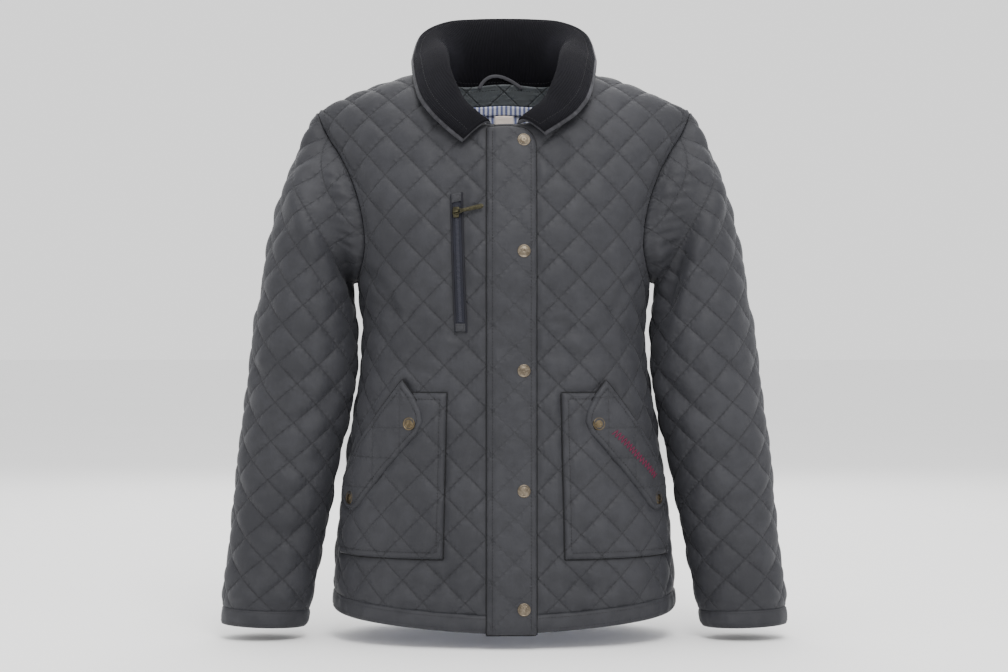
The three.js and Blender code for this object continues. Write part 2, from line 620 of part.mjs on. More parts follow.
// The collar: s runs along the neck seam from the centre back, v from the seam to the outer edge.
function collarSurface() {
  const n = 40, seam = [];
  const worn = (surface) => ([s, v]) => surface.point(s, v).addScaledVector(surface.normal(s, v), WALL / 2);
  const backEdge = neckline(back, BACK_NECK_Z, 0).reverse().map(worn(back));
  const frontEdge = neckline(front, FRONT_NECK_Z, 0).map(worn(front));
  const stop = frontEdge.findIndex((p) => p.x < COLLAR_END_X);
  const last = frontEdge[stop - 1].clone().lerp(frontEdge[stop],
    (frontEdge[stop - 1].x - COLLAR_END_X) / (frontEdge[stop - 1].x - frontEdge[stop].x));
  const edge = [...backEdge, ...frontEdge.slice(1, stop), last];
  const lengths = running(edge), whole = lengths.at(-1);
  const along = (at) => {
    const [i, t] = placeAt(lengths, at * whole);
    return edge[i].clone().lerp(edge[i + 1], t);
  };
  const read = {};
  for (const key of ["rollX", "rollY", "rollZ", "edgeX", "edgeY", "edgeZ"]) read[key] = column(COLLAR, "at", key);
  for (const t of span(n)) {
    const roll = new THREE.Vector3(read.rollX(t), read.rollY(t), read.rollZ(t));
    const outer = new THREE.Vector3(read.edgeX(t), read.edgeY(t), read.edgeZ(t));
    const base = along(t);
    const start = base.clone().add(roll.clone().sub(base).setLength(mix(COLLAR_SEAT.back, COLLAR_SEAT.front, t)));
    const pull = roll.clone().multiplyScalar(2).addScaledVector(start, -0.5).addScaledVector(outer, -0.5);
    const curve = new THREE.QuadraticBezierCurve3(start, pull, outer);
    seam.push(span(16).map((u) => curve.getPoint(u)));
  }
  const heights = seam.map((points) => running(points).at(-1));
  const column_ = (s) => Math.min(n - 1e-6, Math.abs(s) / whole * n);
  const height = (s) => {
    const i = Math.floor(column_(s));
    return mix(heights[i], heights[i + 1], column_(s) - i);
  };
  function point(s, v) {
    const i = Math.floor(column_(s)), t = column_(s) - i;
    const place = Math.min(1, v / height(s)) * 16, j = Math.min(15, Math.floor(place));
    const beyond = v > height(s) ? v - height(s) : 0;
    const at = (k) => seam[k][j].clone().lerp(seam[k][j + 1], place - j)
      .addScaledVector(seam[k][16].clone().sub(seam[k][15]).normalize(), beyond);
    const p = at(i).lerp(at(i + 1), t), side = Math.sign(s);
    const skew = side * COLLAR_SKEW * soft(Math.abs(s) / whole * 4 - 3) * Math.min(1, v / height(s));
    return new THREE.Vector3(side * p.x, p.y, p.z + skew);
  }
  function normal(s, v) {
    const d = 4, a = Math.max(-whole + d, Math.min(whole - d, s)), b = Math.max(d, v);
    const across = point(a + d, b).sub(point(a - d, b));
    return across.cross(point(a, b + d).sub(point(a, b - d))).normalize();
  }
  return { point, normal, height, whole };
}
const collar = collarSurface();

function collarOutline(inset) {
  const across = span(40).map((t) => mix(-1, 1, t) * (collar.whole - SEAM));
  return [...across.map((s) => [s, 0]), ...across.map((s) => [s, collar.height(s) - inset]).reverse()];
}

const group = new THREE.Group();
const SLATE = 0x4b4d52, CORD = 0x1d1c22, BRASS = 0x8c7a5a, NAVY = 0x23263a, STRIPE = 0x6d7aa6, CREAM = 0xe6d8c8;
function add(name, geometry, color, roughness = 0.7, metalness = 0) {
  const mesh = new THREE.Mesh(geometry, new THREE.MeshStandardMaterial({ color, roughness, metalness }));
  mesh.name = name;
  group.add(mesh);
  return mesh;
}

const HALF_BODY = BODY_DIAMOND / 2, HALF_SLEEVE = SLEEVE_DIAMOND / 2;
const ORIGIN_RIGHT = [-115, -191], ORIGIN_LEFT = [109, -260], ORIGIN_BACK = [0, -191];
const ON_FRONT = WALL + 0.7, ON_POCKET = ON_FRONT + WALL + 0.7;
const placket = placketOutline();
const pocket = { left: pocketOutline(1), right: pocketOutline(-1) };
const flap = { left: flapOutline(1), right: flapOutline(-1) };
const covers = [placket, pocket.left, pocket.right, flap.left, flap.right, zipFrame(4)];
const ring = ({ s, v }, radius) => span(16).slice(1).map((t) => {
  const angle = t * 2 * Math.PI;
  return [s + radius * Math.cos(angle), v + radius * Math.sin(angle)];
});
const snaps = SNAP_Z.map((z) => ({ s: SNAP_S, v: frontV(z) }));

function body() {
  const fronts = {
    front_right: { left: true, origin: ORIGIN_RIGHT },
    front_left: { left: false, origin: ORIGIN_LEFT },
  };
  for (const [name, { left, origin }] of Object.entries(fronts)) {
    const outline = frontOutline(left);
    const puff = edged(quilting(BODY_DIAMOND, origin), outline, covers);
    add(name, cutAndLay({ outline, surface: front, cell: [HALF_BODY, HALF_BODY], origin, puff }), SLATE);
  }
  const outline = backOutline(), origin = ORIGIN_BACK;
  const puff = edged(quilting(BODY_DIAMOND, origin), outline);
  add("back", cutAndLay({ outline, surface: back, cell: [HALF_BODY, HALF_BODY], origin, puff }), SLATE);
}

function hems() {
  const cell = [HALF_BODY, BAND * 3];
  const right = hemRow(front, HEM_Z, SEAM / 2 - FRONT_EDGE).map((s) => -s).reverse();
  const left = hemRow(front, HEM_Z, SEAM / 2 + FRONT_EDGE), half = hemRow(back, HEM_BACK_Z, 0);
  const whole = [...half.slice(1).map((s) => -s).reverse(), ...half];
  const pieces = {
    hem_right: { surface: front, outline: hemOutline(front, HEM_Z, right), origin: [ORIGIN_RIGHT[0], -680] },
    hem_left: { surface: front, outline: hemOutline(front, HEM_Z, left), origin: [ORIGIN_LEFT[0], -680] },
    hem_back: { surface: back, outline: hemOutline(back, HEM_BACK_Z, whole), origin: [ORIGIN_BACK[0], -680] },
  };
  for (const [name, piece] of Object.entries(pieces)) add(name, cutAndLay({ ...piece, cell }), SLATE);
}

function sleeves() {
  const outline = sleeveOutline(), origin = [0, 12];
  const puff = edged(quilting(SLEEVE_DIAMOND, origin), outline), cell = [HALF_SLEEVE, HALF_SLEEVE];
  const tube = (creases) =>
    cutAndLay({ outline, surface: sleeve, cell, origin, puff, lift: folded(creases, outline) });
  const cuff = cutAndLay({
    outline: cuffOutline(), surface: sleeve, cell: [HALF_SLEEVE, BAND * 3], origin: [0, -BAND],
  });
  for (const [side, name] of [[1, "left"], [-1, "right"]])
    for (const [piece, geometry] of [["sleeve", tube(SLEEVE_FOLDS[name])], ["cuff", cuff]])
      add(`${piece}_${name}`, geometry, SLATE).scale.x = side;
}

// The placket, the pockets and their flaps lie on the fronts
function onTheFront() {
  const cell = [HALF_BODY, HALF_BODY];
  const flat = snaps.map((snap) => ring(snap, SNAP.radius + 1));
  const puff = edged(quilting(BODY_DIAMOND, PLACKET.origin, 2), placket, flat, 6);
  add("placket", cutAndLay({
    outline: placket, surface: front, cell: [HALF_BODY / 2, HALF_BODY], origin: PLACKET.origin,
    lift: () => ON_FRONT, puff,
  }), SLATE);
  for (const [side, name, origin] of [[1, "left", ORIGIN_LEFT], [-1, "right", ORIGIN_RIGHT]]) {
    const bag = edged(quilting(BODY_DIAMOND, origin), pocket[name], [flap[name]], 13);
    add(`pocket_${name}`, cutAndLay({
      outline: pocket[name], surface: front, cell, origin, lift: () => ON_FRONT, puff: bag,
    }), SLATE);
    const seats = FLAP_SNAPS.map(({ s, v }) => ring({ s: side * s, v }, SNAP.radius + 1));
    const top = edged(quilting(BODY_DIAMOND, origin, 2), flap[name], seats, 6);
    const lift = (s, v) => {
      const out = inside(pocket[name], s, v) ? 0 : distanceTo(pocket[name], s, v);
      return mix(ON_FRONT, ON_POCKET, soft(1.6 - out / 16));
    };
    add(`flap_${name}`, cutAndLay({
      outline: flap[name], surface: front, cell: [16, 16], origin, lift, puff: top,
    }), SLATE);
    FLAP_SNAPS.forEach(({ s, v }, i) =>
      add(`flap_snap_${name}_${i + 1}`, snapAt(side * s, v, ON_POCKET + WALL + SNAP_SEAT.flap), BRASS, 0.35, 0.9));
  }
  snaps.forEach(({ s, v }, i) =>
    add(`placket_snap_${i + 1}`, snapAt(s, v, ON_FRONT + WALL + SNAP_SEAT.placket), BRASS, 0.35, 0.9));
}

// Something small at pattern coordinates on a front: its own X runs across, its Z stands off the cloth.
function placed(geometry, s, v, height, turn = 0) {
  const out = front.normal(s, v), up = front.point(s, v + 2).sub(front.point(s, v - 2)).normalize();
  const across = up.clone().cross(out).normalize();
  const frame = new THREE.Matrix4().makeBasis(across, out.clone().cross(across), out);
  frame.setPosition(front.point(s, v).addScaledVector(out, height));
  return geometry.applyMatrix4(frame.multiply(new THREE.Matrix4().makeRotationZ(turn)));
}

// A snap cap: a rolled rim round a shallow dome
function snapAt(s, v, height) {
  const { radius, rim, height: tall, sides } = SNAP;
  const profile = [
    [0, 0], [radius, 0], [radius, tall * 0.6], [radius - rim / 2, tall * 0.85],
    [radius - rim, tall * 0.6], [radius * 0.5, tall * 0.9], [0, tall],
  ];
  const cap = new THREE.LatheGeometry(profile.map(([x, y]) => new THREE.Vector2(x, y)), sides);
  return placed(closed(cap.rotateX(Math.PI / 2)), s, v, height);
}

// A lathe's own duplicate corners merged
function closed(geometry) {
  return geometryOf(solidOf(geometry));
}

function collarPieces() {
  const cell = [14, 11];
  add("collar_cord", cutAndLay({
    outline: collarOutline(COLLAR_EDGE), surface: collar, cell, wall: COLLAR_WALL,
  }), CORD, 0.9);
  add("collar_under", cutAndLay({
    outline: collarOutline(0), surface: collar, cell,
    lift: () => -COLLAR_WALL - COLLAR_GAP, wall: COLLAR_WALL,
  }), SLATE);
}

// Inside the back of the neck: a facing, a striped band under it, a blank label and a hanging loop
function insideNeck() {
  const edge = neckline(back, BACK_NECK_Z, 2.5).reverse().filter(([s]) => s < 70), cell = [HALF_BODY, HALF_BODY];
  const whole = [...mirrored(edge.slice(1)).reverse().reverse(), ...edge];
  const under = (depth) => whole.map(([s, v]) => [s * (1 - depth / 900), v - depth]);
  const strip = (from, to) => [...under(to), ...under(from).reverse()];
  const inner = (outline, wall = THIN) => cutAndLay({
    outline, surface: back, cell, origin: ORIGIN_BACK, lift: () => -wall - 1.2, wall,
  });
  add("neck_facing", inner(strip(0, FACING_DEPTH)), SLATE);
  add("striped_band", inner(strip(FACING_DEPTH + SEAM, LINING_DEPTH)), STRIPE);
  const low = under(LINING_DEPTH + SEAM).find(([s]) => s > -1)[1], half = LABEL.width / 2;
  const end = low - LABEL.height;
  add("label", inner([[-half, end], [half, end], [half, low], [-half, low]], 0.8), CREAM);
}

// A ribbon that stands up from the facing in an arch and lies against the collar's cloth
function hangLoop() {
  const { left, right, peak, rise, width, thick, clear } = LOOP, start = BACK_NECK_Z - LOOP.sunk;
  const pull = [2 * peak - (left + right) / 2, start + 2 * rise], edge = back.upTo(BACK_NECK_Z);
  // The depth of the cloth behind the place at x and z, up the facing and on up the collar
  const behind = (x, z) => {
    const cloth = [
      ...span(4).map((t) => [back, edge - 12 * (1 - t) - 3, -THIN - 1.2]),
      ...span(8).map((t) => [collar, 28 * t, COLLAR_WALL]),
    ].map(([surface, v, off]) => surface.point(x, v).addScaledVector(surface.normal(x, v), off));
    return lookup(cloth.map((p) => p.z), cloth.map((p) => p.y), z);
  };
  const curve = new THREE.QuadraticBezierCurve(
    new THREE.Vector2(left, start), new THREE.Vector2(...pull), new THREE.Vector2(right, start));
  const xyz = [], faces = [], rows = 12;
  for (const t of span(rows)) {
    const p = curve.getPoint(t), ahead = curve.getTangent(t);
    for (const [out, deep] of [[-1, 0], [1, 0], [1, 1], [-1, 1]]) {
      const x = p.x - ahead.y * out * width / 2, z = p.y + ahead.x * out * width / 2;
      xyz.push(x, behind(x, z) - clear - deep * thick, z);
    }
  }
  for (let i = 0; i < rows; i++)
    for (let k = 0; k < 4; k++) {
      const a = 4 * i + k, b = 4 * i + (k + 1) % 4;
      faces.push(a, b, b + 4, a, b + 4, a + 4);
    }
  faces.push(0, 2, 1, 0, 3, 2, 4 * rows, 4 * rows + 1, 4 * rows + 2, 4 * rows, 4 * rows + 2, 4 * rows + 3);
  const geometry = new THREE.BufferGeometry();
  geometry.setAttribute("position", new THREE.Float32BufferAttribute(xyz, 3));
  geometry.setIndex(faces);
  add("hang_loop", geometry, SLATE);
}

// The chest zip: its tape, a tab over each end, the slider with its bridge, and the pull
function chestZip() {
  const cell = [12, 12], wall = ZIP.tape, origin = [0, 0];
  const frame = zipFrame(0), [low, , , high] = frame;
  const slanted = (s, v) => [mix(low[0], high[0], (v - low[1]) / (high[1] - low[1])) + s, v];
  const strip = (from, to, wide) => [slanted(0, from), slanted(wide, from), slanted(wide, to), slanted(0, to)];
  const over = ON_FRONT + ZIP.tape + 0.5;
  add("zip_tape", cutAndLay({ outline: frame, surface: front, cell, origin, lift: () => ON_FRONT, wall }), NAVY);
  const tabs = { zip_tab_top: [high[1] - ZIP.tab, high[1]], zip_tab_bottom: [low[1], low[1] + ZIP.tab] };
  for (const [name, [from, to]] of Object.entries(tabs))
    add(name, cutAndLay({
      outline: strip(from, to, ZIP.width), surface: front, cell, origin, lift: () => over, wall: THIN,
    }), SLATE);

  const box = (x0, x1, y0, y1, z0, z1) => solidOf(
    new THREE.BoxGeometry(x1 - x0, y1 - y0, z1 - z0).translate((x0 + x1) / 2, (y0 + y1) / 2, (z0 + z1) / 2));
  const { width, length, height } = SLIDER, { reach, thick, clear } = BRIDGE, half = BRIDGE.width / 2;
  const turn = THREE.MathUtils.degToRad(PULL.turn);
  const wedge = new THREE.Shape([[-0.7, -1], [0.7, -1], [1, 0.2], [0.8, 1], [-0.8, 1], [-1, 0.2]]
    .map(([x, y]) => new THREE.Vector2(x * width / 2, y * length / 2)));
  const base = solidOf(new THREE.ExtrudeGeometry(wedge, { depth: height, bevelEnabled: false }).rotateZ(-turn));
  const top = PULL.axis + PULL.thick / 2 + clear;
  const slider = base.add(box(-reach, -reach + thick, -half, half, height - 0.5, top + thick))
    .add(box(reach - thick, reach, -half, half, height - 0.5, top + thick))
    .add(box(-reach, reach, -half, half, top, top + thick));
  const at = (solid) => placed(geometryOf(solid), SLIDER.s, frontV(SLIDER.z), over, turn);
  add("zip_slider", at(slider), BRASS, 0.4, 0.9);

  const w = PULL.width / 2, { rim, eye, length: end } = PULL;
  const side = [[-rim / 2, -w], [eye, -w], [eye + 3, -w * 0.7], [end - 3, -w]];
  const tip = span(4).map((t) => {
    const angle = (t - 0.5) * Math.PI;
    return [end - w + w * Math.cos(angle), w * Math.sin(angle)];
  });
  const flat = (points) => points.map(([x, y]) => new THREE.Vector2(x, y));
  const shape = new THREE.Shape(flat([...side, ...tip, ...side.map(([x, y]) => [x, -y]).reverse()]));
  shape.holes.push(new THREE.Path(flat([[rim / 2, rim - w], [eye, rim - w], [eye, w - rim], [rim / 2, w - rim]])));
  const plate = new THREE.ExtrudeGeometry(shape, { depth: PULL.thick, bevelEnabled: false });
  plate.translate(0, 0, PULL.axis - PULL.thick / 2);
  add("zip_pull", at(solidOf(plate)), BRASS, 0.45, 0.9);
}

body();
hems();
sleeves();
onTheFront();
collarPieces();
insideNeck();
hangLoop();
chestZip();

export default group;
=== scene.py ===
"""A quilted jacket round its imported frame: cloth, sewing, corduroy collar, snaps and chest zip."""
import math

import bpy
import numpy as np
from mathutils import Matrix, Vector
from mathutils.bvhtree import BVHTree


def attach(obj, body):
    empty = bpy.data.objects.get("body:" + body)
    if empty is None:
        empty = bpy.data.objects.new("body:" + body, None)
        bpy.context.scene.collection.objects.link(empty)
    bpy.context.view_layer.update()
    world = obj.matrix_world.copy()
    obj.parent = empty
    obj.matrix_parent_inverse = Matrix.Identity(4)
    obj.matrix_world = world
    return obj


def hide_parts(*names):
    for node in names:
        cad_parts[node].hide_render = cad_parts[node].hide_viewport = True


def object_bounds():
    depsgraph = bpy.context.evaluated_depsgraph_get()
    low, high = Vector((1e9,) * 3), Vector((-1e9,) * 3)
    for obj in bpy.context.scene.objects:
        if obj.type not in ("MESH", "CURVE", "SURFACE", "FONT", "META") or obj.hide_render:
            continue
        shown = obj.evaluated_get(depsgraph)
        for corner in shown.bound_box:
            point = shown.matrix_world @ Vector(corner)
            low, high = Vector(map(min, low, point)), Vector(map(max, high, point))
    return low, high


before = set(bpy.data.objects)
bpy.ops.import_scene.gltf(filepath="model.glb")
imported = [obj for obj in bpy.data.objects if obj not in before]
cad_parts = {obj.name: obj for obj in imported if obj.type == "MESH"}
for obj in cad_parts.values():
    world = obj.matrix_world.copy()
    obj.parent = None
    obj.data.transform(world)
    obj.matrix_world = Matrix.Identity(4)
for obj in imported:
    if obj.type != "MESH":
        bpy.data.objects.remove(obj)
cad_box = [list(corner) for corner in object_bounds()]

# Sizes in millimetres, as in the frame's own source

SEAM = 0.3  # between two solids that are sewn together
SHUT = -0.15  # in the picture no light shows at a seam, so each piece runs this far past its own line
WALL, THIN, BAND = 2.0, 1.2, 20.0
PUFF, FADE = 3.0, 14.0  # how far the padding swells, and how far in from an edge it is held down
BODY_DIAMOND, SLEEVE_DIAMOND, HALF_DIAMOND = 48.0, 45.0, 24.0
CELL, BAND_CELL = 3.0, 2.5  # the mesh's squares on the large pieces and on the bands
DEEPEST, DEEPEST_BAND = -1.4, -1.0  # how far a groove may go into the wall
TORSO = dict(
    z=[-645, -560, -480, -400, -340, -290, -238],
    width=[200, 194, 185.5, 174, 165, 162, 168],
    front=[137, 133, 128, 124, 121, 120, 123],
    back=[126, 121, 116, 110, 106, 105, 109],
)
ARMPIT_Z, SIDE_Y, RIDGE_Y, RING_SQUARE, SHOULDER_SPREAD = -238, 4, 8, 0.03, 64
ROUND = dict(front=2.0, back=2.6)
RIDGE_TOP, RIDGE_DROP, NECK_RISE, NECK_RISE_X = 14.3, 0.00118, 25, 85
HEM_Z, HEM_SIDE_RISE, HEM_BEND, HEM_BACK_Z = -633, 19, 0.3, -629
FRONT_NECK_Z, BACK_NECK_Z, NECK_X, FRONT_EDGE, SHOULDER_X = -63, 0, 79, -11, 217
ARMHOLE = dict(
    z=[-233, -222, -205, -183, -151, -117, -90, -68],
    front=[-22, -45, -58, -62, -58, -45, -28, -11],
    back=[30, 50, 61, 66, 63, 52, 37, 24],
)
SLEEVE = dict(
    x=[278.5, 275, 265.5, 257, 248.8, 238, 231, 227, 222, 210.5],
    y=[-26, -24.5, -21.5, -19, -17, -16, -13, -4, 4, 4],
    z=[-635, -611, -552, -494, -435, -377, -318, -258, -208, -170],
    width=[47.5, 48.7, 50.5, 53.2, 55.8, 58.2, 59.2, 56, 61, 77],
    depth=[41, 42.5, 45.5, 49, 52, 55, 59, 63, 65, 66],
    tilt=[2, 3, 5, 7, 8, 10, 13, 22, 45, 65],
)
COLLAR = dict(
    roll_x=[0, 27, 53, 70, 71, 68, 65, 58, 48, 34, 24],
    roll_y=[72, 70, 62, 43, 14, -16.9, -43.1, -64, -80, -93, -100.4],
    roll_z=[46, 45, 43, 42, 38, 26, 7, -14, -34, -49, -61],
    edge_x=[0, 35, 71, 99, 109, 108, 104, 97, 83, 65, 47],
    edge_y=[92, 90, 82, 57, 18, -14.9, -45.1, -71, -91, -102, -107.4],
    edge_z=[83, 82, 77.5, 60, 28, 9, -12, -32, -51, -67, -80],
)
COLLAR_WALL, COLLAR_SEAT, COLLAR_EDGE, COLLAR_END_X, COLLAR_SKEW = 1.5, (-3.2, 3.6), 2.0, 11, 4
PLACKET_LEFT, PLACKET_RIGHT, PLACKET_CORNER, ORIGIN_PLACKET = -19, 36, 16, (11.7, -179)
SNAP_S, SNAP_Z = 22, [-81, -207, -341, -475, -606]
SNAP_RADIUS, SNAP_HEIGHT, SNAP_SEAT = 7.5, 2.6, 0.4
POCKET = dict(inner=64, inner_low=68, outer=214, top=-366, bottom=-551, level=50, slant=(26, 84, 96))
FLAP = [(115, -352), (102, -368), (92, -386), (90, -399), (96, -412), (172, -496), (182, -501),
        (194, -499), (205, -491), (212, -478), (211, -465)]
FLAP_MIDDLE = (150, -440)
FLAP_SNAPS = [(105, -401), (187, -487)]
ZIP_TOP, ZIP_BOTTOM, ZIP_WIDTH, ZIP_TAPE, ZIP_TAB = (-53.5, -136), (-48, -297), 11, 1.0, 9
SLIDER, SLIDER_WIDTH, SLIDER_LENGTH, SLIDER_HEIGHT = (-53.2, -159), 8, 12, 2.4
PULL = dict(length=32, width=5.4, thick=1.2, turn=12, axis=3.8, eye=5, rim=1.1)
BRIDGE_REACH, BRIDGE_WIDTH, BRIDGE_THICK, BRIDGE_CLEAR = 3.3, 1.8, 1.1, 0.5
FACING_DEPTH, LINING_DEPTH, LABEL_WIDTH, LABEL_HEIGHT = 25.5, 35.5, 23, 16
LOOP = dict(left=-30, right=22, peak=-10, rise=15, width=4, thick=1, sunk=5, clear=1)
ON_FRONT = WALL + 0.7
ON_POCKET = ON_FRONT + WALL + 0.7
ORIGIN_RIGHT, ORIGIN_LEFT, ORIGIN_BACK, ORIGIN_SLEEVE = (-115, -191), (109, -260), (0, -191), (0, 12)

# Sewing: how far the rows of stitches lie from the edges, and each stitch
ARM_STITCH, CUFF_STITCH, CUFF_STITCH_HIGH, HEM_STITCH = 8.0, 3.5, 2.5, 4.0
POCKET_STITCH, FLAP_STITCH, COLLAR_STITCH, TAB_STITCH = 7.0, 6.0, 5.5, 1.8
FACING_STITCH, FACING_GROOVE = 5.5, 4.5
PLACKET_STITCH = (-12.5, 30.0)
STITCH_PITCH, STITCH_LENGTH, STITCH_THICK = 3.6, 2.7, 0.55
ZIGZAG_ENDS, ZIGZAG_STEP, ZIGZAG_REACH = [(609, 433), (647, 477)], 2.3, 4.2
# In the picture the pieces inside the neck show higher than their solids lie
FACING_RISE, INSIDE_RISE = 4.0, 7.0

# The picture, taken level from straight in front
PICTURE_WIDTH, PICTURE_HEIGHT, MM_PER_PIXEL = 1008, 672, 1.17
CAMERA_FAR, CAMERA_Z = 2600.0, -302.0
SENSOR = 36.0

# Light: each lamp's place, what it points at, its size in metres and its power in watts
LAMPS = {
    "key": ((0.4, -2.05, 1.85), (0, 0, -0.35), 1.1, 63),
    "fill": ((1.6, -2.5, 0.2), (0, 0, -0.3), 2.0, 8),
    "top": ((0, -0.2, 2.4), (0, 0, -0.2), 1.8, 34),
    "behind": ((0, 2.2, 1.2), (0, 0, -0.3), 2.4, 40),
}
LAMP_COLOR, SURROUND = (1.0, 0.99, 0.975), 1.4
FLOOR_BELOW, FLOOR_REACH = 14, 30000


# Curves through tables

def column(xs, ys):
    """A smooth curve through a table's column, as a function of another column."""
    xs, ys = np.array(xs, float), np.array(ys, float)
    slope = np.empty(len(xs))
    slope[1:-1] = (ys[2:] - ys[:-2]) / (xs[2:] - xs[:-2])
    slope[0] = (ys[1] - ys[0]) / (xs[1] - xs[0])
    slope[-1] = (ys[-1] - ys[-2]) / (xs[-1] - xs[-2])

    def read(x):
        i = np.clip(np.searchsorted(xs, x, side="left"), 1, len(xs) - 1)
        h = xs[i] - xs[i - 1]
        t = np.clip((x - xs[i - 1]) / h, 0, 1)
        return ((2 * t**3 - 3 * t * t + 1) * ys[i - 1] + (t**3 - 2 * t * t + t) * h * slope[i - 1]
                + (3 * t * t - 2 * t**3) * ys[i] + (t**3 - t * t) * h * slope[i])
    return read


def running(points):
    """The length along a row of points, up to each one."""
    steps = np.linalg.norm(np.diff(points, axis=0), axis=1)
    return np.concatenate([[0], np.cumsum(steps)])


def through(points, steps):
    """Points on a centripetal curve through the given ones, a number of steps for each stretch."""
    p = np.array(points, float)
    p = np.vstack([2 * p[0] - p[1], p, 2 * p[-1] - p[-2]])
    out = []
    t = np.linspace(0, 1, steps, endpoint=False)[:, None]
    for i in range(1, len(p) - 2):
        d0, d1, d2 = (max(1e-4, np.linalg.norm(p[i + k] - p[i + k - 1])) ** 0.5 for k in (0, 1, 2))
        a = ((p[i] - p[i - 1]) / d0 - (p[i + 1] - p[i - 1]) / (d0 + d1) + (p[i + 1] - p[i]) / d1) * d1
        b = ((p[i + 1] - p[i]) / d1 - (p[i + 2] - p[i]) / (d1 + d2) + (p[i + 2] - p[i + 1]) / d2) * d1
        bend = 3 * (p[i + 1] - p[i]) - 2 * a - b
        out.append(p[i] + a * t + bend * t**2 + (2 * (p[i] - p[i + 1]) + a + b) * t**3)
    return np.vstack(out + [p[-2:-1]])


def evenly(points, n):
    """n + 1 points at even distances along a row of points."""
    lengths = running(points)
    at = np.linspace(0, lengths[-1], n + 1)
    return np.stack([np.interp(at, lengths, points[:, k]) for k in range(points.shape[1])], 1)


def of_four(grid, i, j, a, b):
    """A table's value between four of its entries, at the shares a and b."""
    low = grid[i, j] * (1 - a) + grid[i + 1, j] * a
    high = grid[i, j + 1] * (1 - a) + grid[i + 1, j + 1] * a
    return low * (1 - b) + high * b


def solve(f, target, low, high, halvings=44):
    """Where a rising function comes to a target."""
    for _ in range(halvings):
        middle = (low + high) / 2
        low, high = (middle, high) if f(middle) < target else (low, middle)
    return (low + high) / 2


def soft(t):
    """Rises from 0 to 1 without a corner."""
    t = np.clip(t, 0, 1)
    return t * t * (3 - 2 * t)


def unit(v):
    return v / np.maximum(np.linalg.norm(v, axis=-1, keepdims=True), 1e-9)


def ridge_z(x):
    """The height of the shoulder's ridge."""
    return RIDGE_TOP - RIDGE_DROP * x * x + NECK_RISE * np.maximum(0, 1 - (x / NECK_RISE_X) ** 2) ** 2


# The worn surfaces that the flat pieces are laid on

class Worn:
    """A surface with pattern coordinates s and v, and with the height h of each place on the flat piece.

    normal points out of the garment, or to the collar's corduroy side.
    """
    turned = 1

    def to_flat(self, s, v):
        return v

    def from_flat(self, s, height):
        return height

    def as_quilted(self, s, h):
        return s, h

    def lay(self, s, v, height):
        return self.point(s, v) + self.normal(s, v) * np.asarray(height)[..., None]


